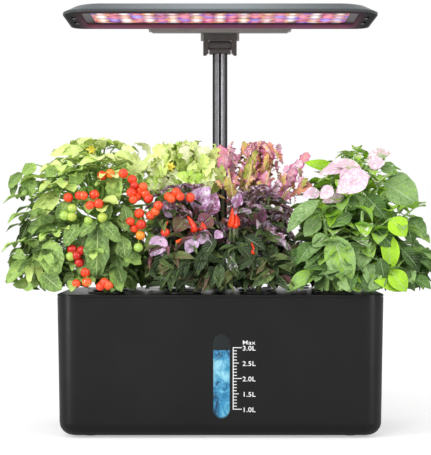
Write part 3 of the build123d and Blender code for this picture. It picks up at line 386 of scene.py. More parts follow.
def led_light(name, chip_white, strength):
    """Lit LEDs on white solder mask: silicone domes and the soft pools of light round them, which
    stretch across the board. The colour follows the order in which the LEDs repeat, the strength
    differs from LED to LED, and a deep plum haze lies between them."""
    finish, tree, shader, place = new_finish(name, Emission_Strength=strength, Roughness=0.4)
    middle = (BOARD_LOW + BOARD_HIGH) / 2
    axes = add(tree, "SeparateXYZ", {"Vector": place})
    nearest, away = [], []
    for axis, pitch, stretch in (("X", LED_PITCH, LED_PITCH),
                                 ("Y", LED_ROW_PITCH, LED_ROW_STRETCH)):
        offset = add(tree, "Math", {0: axes.outputs[axis], 1: middle["XY".index(axis)]},
                     operation="SUBTRACT")
        count = add(tree, "Math", {0: offset, 1: pitch}, operation="DIVIDE")
        near = add(tree, "Math", {0: count}, operation="ROUND")
        rest = add(tree, "Math", {0: count, 1: near}, operation="SUBTRACT")
        away.append(add(tree, "Math", {0: rest, 1: stretch}, operation="MULTIPLY"))
        nearest.append(near)
    reach = add(tree, "VectorMath", {0: add(tree, "CombineXYZ", {"X": away[0], "Y": away[1]})},
                operation="LENGTH")
    pool = add(tree, "MapRange", {"Value": reach, "From Min": LED_POOL[0], "From Max": LED_POOL[1],
                                  "To Min": 1.0, "To Max": 0.0}, interpolation_type="SMOOTHSTEP")
    # a few whole turns are added so that the index is positive when it wraps round
    turns = len(LED_GLOWS)
    shifted = add(tree, "Math", {0: nearest[1], 1: 2.0, 2: 10.5 + 4 * turns},
                  operation="MULTIPLY_ADD")
    index = add(tree, "Math", {0: nearest[0], 1: shifted}, operation="ADD")
    wrapped = add(tree, "Math", {0: index, 1: turns}, operation="MODULO")
    share = add(tree, "Math", {0: wrapped, 1: turns}, operation="DIVIDE")
    hue = add(tree, "ValToRGB", {"Fac": share},
              stops=[(i / turns, colour) for i, colour in enumerate(LED_GLOWS)])
    hue.color_ramp.interpolation = "CONSTANT"
    dice = add(tree, "TexWhiteNoise",
               {"Vector": add(tree, "CombineXYZ", {"X": nearest[0], "Y": nearest[1]})})
    power = add(tree, "MapRange", {"Value": dice, "To Min": 0.2, "To Max": 1.0})
    shown = add(tree, "Math", {0: pool, 1: power}, operation="MULTIPLY")
    haze = add(tree, "TexNoise", {"Vector": place, "Scale": LIGHT_PATCHES, "Detail": 1.0})
    plum = add(tree, "ValToRGB", {"Fac": haze},
               stops=((0.36, "#3c1434"), (0.44, "#b03464"), (0.52, "#dc9c54"), (0.6, "#a8488c"),
                      (0.68, "#5a3cc0")))
    glow = add(tree, "Mix", {"Factor": shown, MIX_A: plum, MIX_B: hue}, data_type="RGBA")
    core = add(tree, "MapRange", {"Value": reach, "From Min": LED_CORE[0], "From Max": LED_CORE[1],
                                  "To Min": chip_white, "To Max": 0.0})
    lit = add(tree, "Math", {0: core, 1: power}, operation="MULTIPLY")
    shine = add(tree, "Mix", {"Factor": lit, MIX_A: glow, MIX_B: linear("#ffffff")},
                data_type="RGBA")
    mask = add(tree, "TexNoise", {"Vector": place, "Scale": 120.0})
    paint = add(tree, "ValToRGB", {"Fac": mask}, stops=((0.3, "#4a3a44"), (0.7, "#66525e")))
    connect(tree, shader, {"Base Color": paint, "Emission Color": shine})
    return finish


def tank_water(settings):
    """Aerated nutrient water, its light painted into its glow. Pale swirls gather in its upper
    half, a painted dark band lies under its surface, and painted blue shade fills its lower half."""
    finish, tree, shader, place = new_finish("tank_water", Emission_Strength=0.9, Roughness=0.08,
                                             IOR=1.333)
    swirl = add(tree, "TexNoise", {"Vector": place, "Scale": 70.0, "Detail": 3.5,
                                   "Roughness": 0.6, "Distortion": 1.6})
    axes = add(tree, "SeparateXYZ", {"Vector": place})
    depth = add(tree, "MapRange", {"Value": axes.outputs["Z"], "From Min": 20 * MM,
                                   "From Max": settings.level})
    # painted light slants through it: from the left in its upper half, the right in its lower half
    off_middle = add(tree, "Math", {0: axes, 1: WINDOW_X}, operation="SUBTRACT")
    slant = add(tree, "MapRange", {"Value": depth, "To Min": 16.0, "To Max": -12.0})
    side = add(tree, "Math", {0: off_middle, 1: slant}, operation="MULTIPLY")
    # how much painted light each depth takes: the tone is this plus the swirl
    lift = add(tree, "ValToRGB", {"Fac": depth},
               stops=((0.0, "#686868"), (0.1, "#b0b0b0"), (0.34, "#9a9a9a"), (0.5, "#a8a8a8"),
                      (0.6, "#f4f4f4"), (0.84, "#e8e8e8"), (0.91, "#4a4a4a"), (1.0, "#202020")))
    lift.color_ramp.interpolation = "B_SPLINE"
    shift = add(tree, "Math", {0: lift, 1: 0.45, 2: -0.12}, operation="MULTIPLY_ADD")
    swirled = add(tree, "Math", {0: swirl, 1: 1.3, 2: shift}, operation="MULTIPLY_ADD")
    level = add(tree, "Math", {0: swirled, 1: side}, operation="ADD")
    tone = add(tree, "ValToRGB", {"Fac": level},
               stops=((0.46, "#17405e"), (0.62, "#2a78a6"), (0.8, "#5b9cbb"), (1.0, "#a3c8d8")))
    elements = tone.color_ramp.elements
    elements[1].color = settings.deep
    elements[3].color = settings.bright
    bubbles = add(tree, "TexVoronoi", {"Vector": place, "Scale": 300.0})
    ring = add(tree, "MapRange", {"Value": bubbles, "From Min": 0.1, "From Max": 0.3,
                                  "To Min": 0.3, "To Max": 0.0})
    foam = add(tree, "Mix", {"Factor": ring, MIX_A: tone, MIX_B: linear("#b4dce8")},
               data_type="RGBA")
    connect(tree, shader, {"Base Color": foam, "Emission Color": foam})
    return finish


def screen_ink():
    """White pad-printed ink, a little broken where it bridges the wall's grain."""
    return grained("screen_ink", 2200.0, ((0.2, "#cfcfcf"), (0.45, "#f2f2f2")), Roughness=0.55)


def living_leaf(name, roughness, vein_count, vein, stops, blush_stops, margin=None):
    """Living leaf: crinkled waxy skin with a midrib and faint side veins, in a colour that drifts
    from leaf to leaf and that its tint pales in painted light and darkens in painted shade. A
    blushing leaf is splashed with its second colour, and a margin colour gathers towards the
    leaf's edge."""
    finish, tree, shader, place = new_finish(name, Specular_IOR_Level=0.16)
    surface = add(tree, "SeparateXYZ", {"Vector": add(tree, "UVMap")})
    # the tint carries painted light: leaves high up and in front are paler, those deep inside
    # darker
    tint = add(tree, "Attribute", attribute_name="tint").outputs["Fac"]
    blush = add(tree, "Attribute", attribute_name="blush").outputs["Fac"]
    off_middle = add(tree, "Math", {0: surface, 1: 0.5}, operation="SUBTRACT")
    across = add(tree, "Math", {0: off_middle}, operation="ABSOLUTE")
    drift = add(tree, "TexNoise", {"Vector": place, "Scale": 70.0, "Detail": 3.0})
    crinkle = add(tree, "TexNoise", {"Vector": place, "Scale": 380.0, "Detail": 4.0})
    # both noises swing round 0.5, which the last sum takes off again
    drifted = add(tree, "Math", {0: drift, 1: 0.5, 2: tint}, operation="MULTIPLY_ADD")
    mottled = add(tree, "Math", {0: crinkle, 1: 0.5, 2: drifted}, operation="MULTIPLY_ADD")
    shade = add(tree, "Math", {0: mottled, 1: 0.5}, operation="SUBTRACT")
    skin = add(tree, "ValToRGB", {"Fac": shade}, stops=stops)
    # side veins climb from the midrib towards the edge
    climb = add(tree, "Math", {0: across, 1: -0.55, 2: surface.outputs["Y"]},
                operation="MULTIPLY_ADD")
    phase = add(tree, "Math", {0: climb, 1: 2 * math.pi * vein_count}, operation="MULTIPLY")
    wave = add(tree, "Math", {0: phase}, operation="SINE")
    side_vein = add(tree, "MapRange", {"Value": wave, "From Min": 0.6, "From Max": 1.0,
                                       "To Min": 0.0, "To Max": 0.2})
    midrib = add(tree, "MapRange", {"Value": across, "From Min": 0.008, "From Max": 0.032,
                                    "To Min": 0.6, "To Max": 0.0})
    veins = add(tree, "Math", {0: side_vein, 1: midrib}, operation="MAXIMUM")
    if margin:
        outward = add(tree, "Math", {0: drift, 1: 0.5, 2: across}, operation="MULTIPLY_ADD")
        edge = add(tree, "MapRange", {"Value": outward, "From Min": 0.5, "From Max": 0.66})
        skin = add(tree, "Mix", {"Factor": edge, MIX_A: skin, MIX_B: linear(margin)},
                   data_type="RGBA")
    splash = add(tree, "TexNoise", {"Vector": place, "Scale": 190.0, "Detail": 5.0,
                                    "Roughness": 0.7})
    blushed = add(tree, "Math", {0: splash, 1: blush}, operation="ADD")
    spread = add(tree, "MapRange", {"Value": blushed, "From Min": 0.86, "From Max": 0.98})
    pink = add(tree, "ValToRGB", {"Fac": splash}, stops=blush_stops)
    skin = add(tree, "Mix", {"Factor": spread, MIX_A: skin, MIX_B: pink}, data_type="RGBA")
    skin = add(tree, "Mix", {"Factor": veins, MIX_A: skin, MIX_B: linear(vein)},
               data_type="RGBA")
    relief = add(tree, "Math", {0: crinkle, 1: veins}, operation="SUBTRACT")
    quilt = add(tree, "Bump", {"Height": relief, "Strength": 0.7, "Distance": 0.6 * MM})
    waxy = add(tree, "MapRange", {"Value": drift, "From Min": 0.3, "From Max": 0.7,
                                  "To Min": roughness - 0.08, "To Max": roughness + 0.1})
    connect(tree, shader, {"Base Color": skin, "Roughness": waxy, "Normal": quilt})
    return finish


def green_stem(name, low, high):
    """Young stem: pale and dark streaks run along it under a thin skin."""
    return grained(name, 240.0, ((0.3, low), (0.7, high)), detail=3.0, Specular_IOR_Level=0.3,
                   Roughness=0.5)


def ripe_skin(name, stops):
    """Tight glossy fruit skin. Each fruit has its own ripeness, and its colour drifts a little
    over it.
    """
    finish, tree, shader, place = new_finish(name, Specular_IOR_Level=0.5, Roughness=0.14)
    tint = add(tree, "Attribute", attribute_name="tint").outputs["Fac"]
    drift = add(tree, "TexNoise", {"Vector": place, "Scale": 120.0})
    mixed = add(tree, "Math", {0: drift, 1: 0.25, 2: tint}, operation="MULTIPLY_ADD")
    connect(tree, shader, {"Base Color": add(tree, "ValToRGB", {"Fac": mixed}, stops=stops)})
    return finish


def dress(finish, *nodes):
    """Gives CAD nodes their finish."""
    for node in nodes:
        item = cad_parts[node]
        if not item.material_slots:
            item.data.materials.append(finish)
        for material_slot in item.material_slots:
            material_slot.material = finish


# ---- Leaf and fruit models, copied by the hundred ----
# both as shares of a leaf's greatest width and length, which are one in its model
LEAF_END_WIDTH = 0.015
LEAF_THICKNESS = 0.014
LEAF_MERGE = 0.0005
ON_RIM = 0.001
# turns in radians by which the teeth and the waves of a leaf's right half run ahead of the left
TOOTH_LEAD = 1.7
WAVE_LEAD = 0.9


class Model:
    """A finished shape as arrays, so that copies of it can be gathered into one mesh."""

    def __init__(self, item):
        mesh = item.data
        self.points = np.array([v.co for v in mesh.vertices])
        self.faces = [tuple(p.vertices) for p in mesh.polygons]
        layer = mesh.uv_layers.active
        self.uv = np.array([loop.uv for loop in layer.data]) if layer else np.zeros(
            (len(mesh.loops), 2))
        bpy.data.objects.remove(item)


def pointed(share, widest, sharpness):
    """Half width of a pointed oval leaf along its length, as a share of its greatest width."""
    if share < widest:
        rise = share / widest
        return 0.5 * math.sin(rise * math.pi / 2) ** 0.75
    fall = (share - widest) / (1 - widest)
    return 0.5 * math.cos(fall * math.pi / 2) ** sharpness


def leaf_model(columns, rows, widest, sharpness, arch=0.6, fold=0.25, ruffle=0.0, waves=3.0,
               notch=0.0, notches=5.0):
    """Models a leaf one long and one wide: base at the origin, tip on +Y, upper side +Z.

    The leaf is widest at a share of its length, and its tip narrows by its sharpness. arch is the
    angle in radians through which the midrib bends, fold lifts both halves, ruffle waves the edge
    up and down, and notch cuts teeth or lobes into it."""
    clear_selection()
    bpy.ops.mesh.primitive_grid_add(x_subdivisions=columns, y_subdivisions=rows, size=1.0)
    item = bpy.context.object
    tip_turn = arch / 2
    chord = 2 * math.sin(tip_turn) / arch
    top_count = len(item.data.vertices)
    rim = set()
    for vertex in item.data.vertices:
        across, along = 2 * vertex.co.x, vertex.co.y + 0.5
        if abs(across) > 1 - ON_RIM or along < ON_RIM or along > 1 - ON_RIM:
            rim.add(vertex.index)
        half = max(pointed(along, widest, sharpness), LEAF_END_WIDTH)
        # teeth come in two sizes, and those of the two halves don't face each other
        turn = 2 * math.pi * notches * along + (TOOTH_LEAD if across > 0 else 0.0)
        bite = 0.5 + 0.35 * math.cos(turn) + 0.15 * math.cos(2.3 * turn + 1.0)
        tooth = 1 - notch * abs(across) ** 3 * bite
        lift = fold * abs(across) * half
        wave = ruffle * abs(across) ** 1.5 * math.sin(
            2 * math.pi * waves * along + (WAVE_LEAD if across > 0 else 0.0)) * min(1, 3 * along)
        bend = arch * along
        level, rise = math.sin(bend) / arch / chord, (math.cos(bend) - 1) / arch / chord
        turned = (level * math.cos(tip_turn) - rise * math.sin(tip_turn),
                  level * math.sin(tip_turn) + rise * math.cos(tip_turn))
        vertex.co = (across * half * tooth, turned[0], turned[1] + lift + wave)
    # the underside is a copy of the upper skin, joined to it along the rim
    with whole_mesh(item):
        bpy.ops.mesh.duplicate()
        bpy.ops.mesh.flip_normals()
    for vertex in item.data.vertices[top_count:]:
        if vertex.index - top_count not in rim:
            vertex.co.z -= LEAF_THICKNESS
    with whole_mesh(item):
        bpy.ops.mesh.remove_doubles(threshold=LEAF_MERGE)
    return Model(item)


def fruit_model():
    """Cherry tomato of radius one: a globe a little flattened and dimpled under its calyx."""
    flatness, dimple, dimple_tightness = 0.94, 0.22, 14
    clear_selection()
    bpy.ops.mesh.primitive_uv_sphere_add(segments=18, ring_count=11, radius=1.0)
    item = bpy.context.object
    for vertex in item.data.vertices:
        side = math.hypot(vertex.co.x, vertex.co.y)
        sunk = dimple * math.exp(-dimple_tightness * side * side) * (vertex.co.z > 0)
        vertex.co.z = flatness * vertex.co.z - sunk
    return Model(item)


def calyx_model():
    """Star of five narrow sepals, radius one, that lies on a tomato's top."""
    gap_reach, sepal_drop, gap_rise, crown_rise, thickness = 0.22, -0.1, 0.1, 0.16, 0.08
    clear_selection()
    bpy.ops.mesh.primitive_circle_add(vertices=10, radius=1.0, fill_type="TRIFAN")
    item = bpy.context.object
    for vertex in item.data.vertices:
        side = math.hypot(vertex.co.x, vertex.co.y)
        if side > 0.5:
            sepal = vertex.index % 2 == 0
            reach = 1.0 if sepal else gap_reach
            vertex.co.x *= reach
            vertex.co.y *= reach
            vertex.co.z = sepal_drop if sepal else gap_rise
        else:
            vertex.co.z = crown_rise
    pick(item)
    bpy.ops.object.modifier_add(type="SOLIDIFY")
    item.modifiers[-1].thickness = thickness
    bpy.ops.object.modifier_apply(modifier=item.modifiers[-1].name)
    return Model(item)


def chilli_model():
    """Chilli one long, base at the origin and tip on +Y: a slim cone that fattens low down."""
    tip_width, bow_depth = 0.04, 0.10
    clear_selection()
    bpy.ops.mesh.primitive_cylinder_add(vertices=12, radius=0.5, depth=1.0, location=(0, 0, 0))
    item = bpy.context.object
    for height in (0.35, 0.2, 0.0, -0.2, -0.35, -0.44):
        with whole_mesh(item):
            bpy.ops.mesh.bisect(plane_co=(0, 0, height), plane_no=(0, 0, 1))
    for vertex in item.data.vertices:
        along = vertex.co.z + 0.5
        width = math.sin(min(1.0, 4 * along + 0.25) * math.pi / 2) * (1 - along) ** 0.7 + tip_width
        bow = bow_depth * math.sin(math.pi * along)
        vertex.co = (vertex.co.x * width + bow, along, vertex.co.y * width)
    with whole_mesh(item):
        bpy.ops.mesh.normals_make_consistent(inside=False)
    return Model(item)


class Foliage:
    """Gathers copies of leaf or fruit models, each with its own tint, into one piece."""

    def __init__(self, low, high):
        self.low, self.high = np.array(low), np.array(high)
        self.points, self.faces, self.uv, self.tints, self.blushes = [], [], [], [], []
        self.count = 0

    def place(self, model, matrix, tint=0.5, blush=0.0):
        """Adds one copy, moved back as a whole where it would leave the plants' room."""
        turn = np.array(matrix.to_3x3())
        points = model.points @ turn.T + np.array(matrix.translation)
        short = np.maximum(self.low - points.min(0), 0)
        points += short - np.maximum(points.max(0) - self.high, 0)
        self.points.append(points)
        self.faces += [tuple(self.count + i for i in face) for face in model.faces]
        self.uv.append(model.uv)
        self.tints.append(np.full(len(points), tint))
        self.blushes.append(np.full(len(points), blush))
        self.count += len(points)

    def leaf(self, model, base, tip, face, width, tint=0.5, blush=0.0):
        """Adds a leaf from base to tip, with its upper side turned towards face."""
        along = tip - base
        length = along.length
        side = along.cross(face)
        if side.length < 1e-9:
            side = along.cross(Vector((0.3, -0.9, 0.2)))
        along.normalize()
        side.normalize()
        out = side.cross(along)
        turn = Matrix((side * width, along * length, out * length)).transposed().to_4x4()
        self.place(model, Matrix.Translation(base) @ turn, tint, blush)

    def finish(self, name, finish, slot, *nodes):
        """Makes the piece, which rides on the deck and stands for these CAD nodes."""
        mesh = bpy.data.meshes.new(name)
        mesh.from_pydata(np.concatenate(self.points), [], self.faces)
        mesh.uv_layers.new(name="UVMap").data.foreach_set("uv", np.concatenate(self.uv).ravel())
        for attribute, values in (("tint", self.tints), ("blush", self.blushes)):
            mesh.attributes.new(attribute, "FLOAT", "POINT").data.foreach_set(
                "value", np.concatenate(values))
        item = bpy.data.objects.new(name, mesh)
        bpy.context.scene.collection.objects.link(item)
        settle(item, name, finish, "deck")
        bpy.ops.object.shade_smooth_by_angle(angle=math.radians(70))
        if nodes:
            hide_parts(*nodes)
        return item


class Stems:
    """Gathers stems and stalks, each a tube that tapers along a smooth line, into one piece."""

    def __init__(self):
        self.curve = bpy.data.curves.new("stems", "CURVE")
        self.curve.dimensions = "3D"
        self.curve.bevel_depth = 1.0
        self.curve.bevel_resolution = 1
        self.curve.resolution_u = 4
        self.curve.use_fill_caps = True

    def line(self, points, thick, thin):
        """Adds one stem through these points, from radius thick to radius thin."""
        spline = self.curve.splines.new("BEZIER")
        spline.bezier_points.add(len(points) - 1)
        for order, (knot, point) in enumerate(zip(spline.bezier_points, points)):
            knot.co = point
            knot.handle_left_type = knot.handle_right_type = "AUTO"
            knot.radius = thick + (thin - thick) * order / (len(points) - 1)

    def finish(self, name, finish, slot):
        """Makes the piece, which rides on the deck."""
        item = bpy.data.objects.new(name, self.curve)
        bpy.context.scene.collection.objects.link(item)
        pick(item)
        bpy.ops.object.convert(target="MESH")
        item = bpy.context.object
        settle(item, name, finish, "deck")
        bpy.ops.object.shade_smooth_by_angle(angle=math.radians(50))
        return item


# ---- Growth ----
# where each plant stands, as x and y in mm
PODS = {"tomato_front": (-112.5, -48), "pepper_left": (-37.5, -48), "pepper_right": (37.5, -48),
        "basil_front": (112.5, -48), "tomato_back": (-112.5, 6), "leaf_lettuce": (-37.5, 6),
        "frilly_lettuce": (37.5, 6), "basil_back": (112.5, 6)}
CANOPIES = {node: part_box(node) for node in PODS}
# a canopy's width at rising heights, both as shares of its greatest size
CANOPY_SWELL = ((0.0, 0.86), (0.22, 0.97), (0.5, 1.0), (0.78, 0.84), (1.0, 0.42))
CANOPY_BULGE = 0.7
GOLDEN_ANGLE = math.pi * (3 - math.sqrt(5))
STEM_FOOT = 139  # height of the foot of each stem in its sponge, in mm
SPROUT_LIFT = 3 * MM  # gap between the deck and the lowest leaves
# radii of a compound leaf's stalk, a shoot and a leaf's own stalk, each at its foot and its tip
COMPOUND_STALK = (1.0 * MM, 0.5 * MM)
SHOOT = (1.5 * MM, 0.8 * MM)
LEAF_STALK = (0.6 * MM, 0.5 * MM)
STALK_ARCH = 10 * MM
# the leaflets of a compound leaf: a pair's place along its stalk, and its size
LEAFLET_PAIRS = ((0.45, 0.62), (0.7, 0.85), (0.92, 0.95))
# how far single leaves stray from their kind's length and width
LENGTH_SPREAD = (0.8, 1.15)
WIDTH_SPREAD = (0.75, 1.25)
BLUSH_ODDS = 0.5


def root_of(node):
    """Foot of a plant's stem in its sponge."""
    return Vector((*PODS[node], STEM_FOOT)) * MM


def room_of(*nodes):
    """Box of some plants' CAD canopies, without the stems under them, as low and high corners."""
    corners = [CANOPIES[node] for node in nodes]
    low = Vector([min(c[0][i] for c in corners) for i in range(3)])
    high = Vector([max(c[1][i] for c in corners) for i in range(3)])
    low.z = DECK_TOP + SPROUT_LIFT
    return low, high


def dome_spot(node, climb, turn, reach):
    """The point of a plant's domed room at a share of its height, in a direction round it, and at
    a share of the way from its middle to its skin."""
    low, high = room_of(node)
    middle, half = (low + high) / 2, (high - low) / 2
    swell = float(np.interp(climb, *zip(*CANOPY_SWELL)))
    spot = Vector((0, 0, low.z + climb * (high.z - low.z)))
    for axis, side in enumerate((math.cos(turn), math.sin(turn))):
        centre = middle[axis] + (root_of(node)[axis] - middle[axis]) * (1 - swell)
        bulged = math.copysign(abs(side) ** CANOPY_BULGE, side)
        spot[axis] = centre + half[axis] * swell * reach * bulged
    return spot


def canopy(node, count, depth, draws):
    """Spreads points evenly over a plant's dome, drawn in to a share of its reach."""
    side_share = 0.85
    found = []
    for order in range(count):
        share = (order + 0.5) / count
        climb = min(1.0, share / side_share)
        reach = depth * draws.uniform(0.9, 1.0) * min(1.0, (1 - share) / (1 - side_share))
        turn = GOLDEN_ANGLE * order + draws.uniform(-0.2, 0.2)
        found.append(dome_spot(node, 0.5 + (climb - 0.5) * (0.5 + 0.5 * depth), turn, reach))
    return found


def arc_point(base, knee, tip, share):
    """The point at a share of the arc from base to tip that leans towards its knee."""
    return (1 - share) ** 2 * base + 2 * share * (1 - share) * knee + share ** 2 * tip


def wobble(draws, amount):
    """A small random vector."""
    return Vector((draws.uniform(-1, 1), draws.uniform(-1, 1), draws.uniform(-1, 1))) * amount


def painted_daylight(point, low, high, draws):
    """Painted light on a leaf's colour, from 0 as painted shade deep inside to 1 at the top."""
    climb = (point.z - low.z) / (high.z - low.z)
    front = (high.y - point.y) / (high.y - low.y)
    return min(1.0, max(0.0, 0.08 + 0.5 * climb + 0.5 * climb ** 3 + 0.12 * front
                        + draws.uniform(-0.18, 0.22)))


def undergrowth(leaves, models, node, draws, count, lengths, slim, tints):
    """Low leaves that spread and hang every way round a plant's foot, down to the deck; the low
    tints that the calls give them paint them darker as shade.
    """
    for order in range(count):
        turn = math.tau * order / count + draws.uniform(-0.3, 0.3)
        way = Vector((math.cos(turn), math.sin(turn), 0))
        start = dome_spot(node, draws.uniform(0.03, 0.34), turn, draws.uniform(0.5, 1.0))
        hang = way * draws.uniform(-0.3, 1.0) - UP * draws.uniform(-0.25, 1.0)
        hang += way.cross(UP) * draws.uniform(-1.2, 1.2)
        length = draws.uniform(*lengths)
        leaves.leaf(draws.choice(models), start, start + hang.normalized() * length,
                    way + UP * 0.5 + wobble(draws, 0.5),
                    length * slim * draws.uniform(*WIDTH_SPREAD), draws.uniform(*tints))


def crisp_edges(leaves, models, points, heart, draws, lengths, slim, tints, blush):
    """Small curled pieces of a lettuce's crisp leaf edges, one at each point."""
    for point in points:
        out = (point - heart).normalized()
        way = (out + UP * draws.uniform(0.0, 0.7) + wobble(draws, 0.9)).normalized()
        length = draws.uniform(*lengths)
        base = point - way * length * 0.5
        face = out * 0.7 + UP * 0.4 + Vector((0, -0.3, 0)) + wobble(draws, 0.6)
        leaves.leaf(draws.choice(models), base, base + way * length, face,
                    length * slim * draws.uniform(*WIDTH_SPREAD), draws.uniform(*tints),
                    blush * (draws.random() < BLUSH_ODDS))


def compound_leaf(leaves, stems, models, base, tip, draws, size, tint):
    """A tomato leaf: an arched stalk with pairs of leaflets along it and one at its end."""
    knee = (base + tip) / 2 + UP * STALK_ARCH
    stems.line([base, knee, tip], *COMPOUND_STALK)
    for share, scale in LEAFLET_PAIRS:
        flat = arc_point(base, knee, tip, share)
        forward = ((tip - knee) * share + (knee - base) * (1 - share)).normalized()
        side = forward.cross(UP)
        side.normalize()
        for sign in (-1, 1):
            reach = side * sign + forward * draws.uniform(0.25, 0.6)
            reach.z += draws.uniform(-0.55, 0.1)
            reach.normalize()
            length = size * scale * draws.uniform(*LENGTH_SPREAD)
            face = UP + forward * 0.35 + wobble(draws, 0.3)
            leaves.leaf(draws.choice(models), flat, flat + reach * length, face,
                        length * draws.uniform(0.66, 0.86), tint + draws.uniform(-0.14, 0.14))
    ahead = (tip - knee).normalized()
    ahead.z -= 0.35
    ahead.normalize()
    leaves.leaf(draws.choice(models), tip, tip + ahead * size * 1.15, UP + ahead * 0.3,
                size * 0.85, tint + draws.uniform(-0.1, 0.12))


def sprig(leaves, stems, models, points, draws, size, slim, tints, blush, droop):
    """A shoot with opposite pairs of leaves, each pair a quarter turn from the last and smaller
    towards the tip, which ends in a small rosette."""
    pairs, first_pair, stalk_share, top_share = 4, 0.35, 0.22, 0.6
    base, knee, tip = points
    stems.line(points, *SHOOT)
    turn = draws.uniform(0, math.pi)
    for order in range(pairs):
        share = first_pair + (1 - first_pair) * (order + 0.5) / pairs
        spot = arc_point(base, knee, tip, share)
        grown = size * (1.1 - 0.45 * order / pairs)
        turn += math.pi / 2 + draws.uniform(-0.3, 0.3)
        for half_turn in (0, math.pi):
            angle = turn + half_turn
            way = Vector((math.cos(angle), math.sin(angle), draws.uniform(-droop, 0.25)))
            way.normalize()
            stalk = spot + way * grown * stalk_share
            stems.line([spot, stalk], *LEAF_STALK)
            length = grown * draws.uniform(*LENGTH_SPREAD)
            face = UP * 0.9 + way * 0.45 + wobble(draws, 0.25)
            leaves.leaf(draws.choice(models), stalk, stalk + way * length, face,
                        length * slim * draws.uniform(0.85, 1.1),
                        draws.uniform(*tints) + 0.2 * share, blush * (draws.random() < BLUSH_ODDS))
    for order in range(4):
        angle = turn + order * math.pi / 2
        way = Vector((math.cos(angle), math.sin(angle), draws.uniform(-0.5, 0.6))).normalized()
        leaves.leaf(draws.choice(models), tip, tip + way * size * top_share, UP + way * 0.6,
                    size * top_share * slim, tints[1] + 0.08, blush)


def rosette(leaves, models, node, draws, count, lengths, widths, tints):
    """Leaves that rise from one heart and open outwards to the top of their room."""
    low, high = room_of(node)
    middle = (low + high) / 2
    heart = root_of(node)
    for order in range(count):
        share = (order + 0.5) / count
        spread = 0.9 * math.sqrt(share)
        angle = GOLDEN_ANGLE * order + draws.uniform(-0.2, 0.2)
        reach = Vector((math.cos(angle) * (high.x - low.x) / 2,
                        math.sin(angle) * (high.y - low.y) / 2, 0)) * spread
        top = high.z - (high.z - low.z) * (0.04 + 0.42 * share ** 1.6) * draws.uniform(0.6, 1.6)
        tip = Vector((middle.x + reach.x, middle.y + reach.y, top))
        foot = heart + reach * 0.25
        length = min((tip - foot).length, draws.uniform(*lengths))
        base = tip + (foot - tip).normalized() * length
        out = Vector((math.cos(angle), math.sin(angle), 0))
        # the upper side of a standing leaf looks inwards, and seen from outside its back shows
        face = UP * 0.5 - out + wobble(draws, 0.3)
        leaves.leaf(draws.choice(models), base, tip, face, draws.uniform(*widths),
                    draws.uniform(*tints) + 0.25 * (1 - share))


def show_leaves(leaves, models, rows, draws, forward, sway, tilt, swell=1.0, blush_share=0.0):
    """Adds the leaves that show most. Each row gives base x and z, tip x and z, width, depth y,
    tint and, where a leaf has one, blush, in mm. forward is how far the base and the tip stand in
    front of that depth, sway and tilt turn the leaf a little aside and up, and swell widens it.
    Gives the row's place and the base of each leaf, for its stalk."""
    shown = []
    for base_x, base_z, tip_x, tip_z, width, y, tint, *blush in rows:
        base = in_sight(base_x, base_z, y - forward[0])
        tip = in_sight(tip_x, tip_z, y - forward[1])
        face = Vector((draws.uniform(-sway, sway), -1, draws.uniform(*tilt)))
        model = draws.choice(models) if len(models) > 1 else models[0]
        leaves.leaf(model, base, tip, face, width * swell * MM, tint, blush_share * sum(blush))
        shown.append((base_x, base_z, y, base))
    return shown


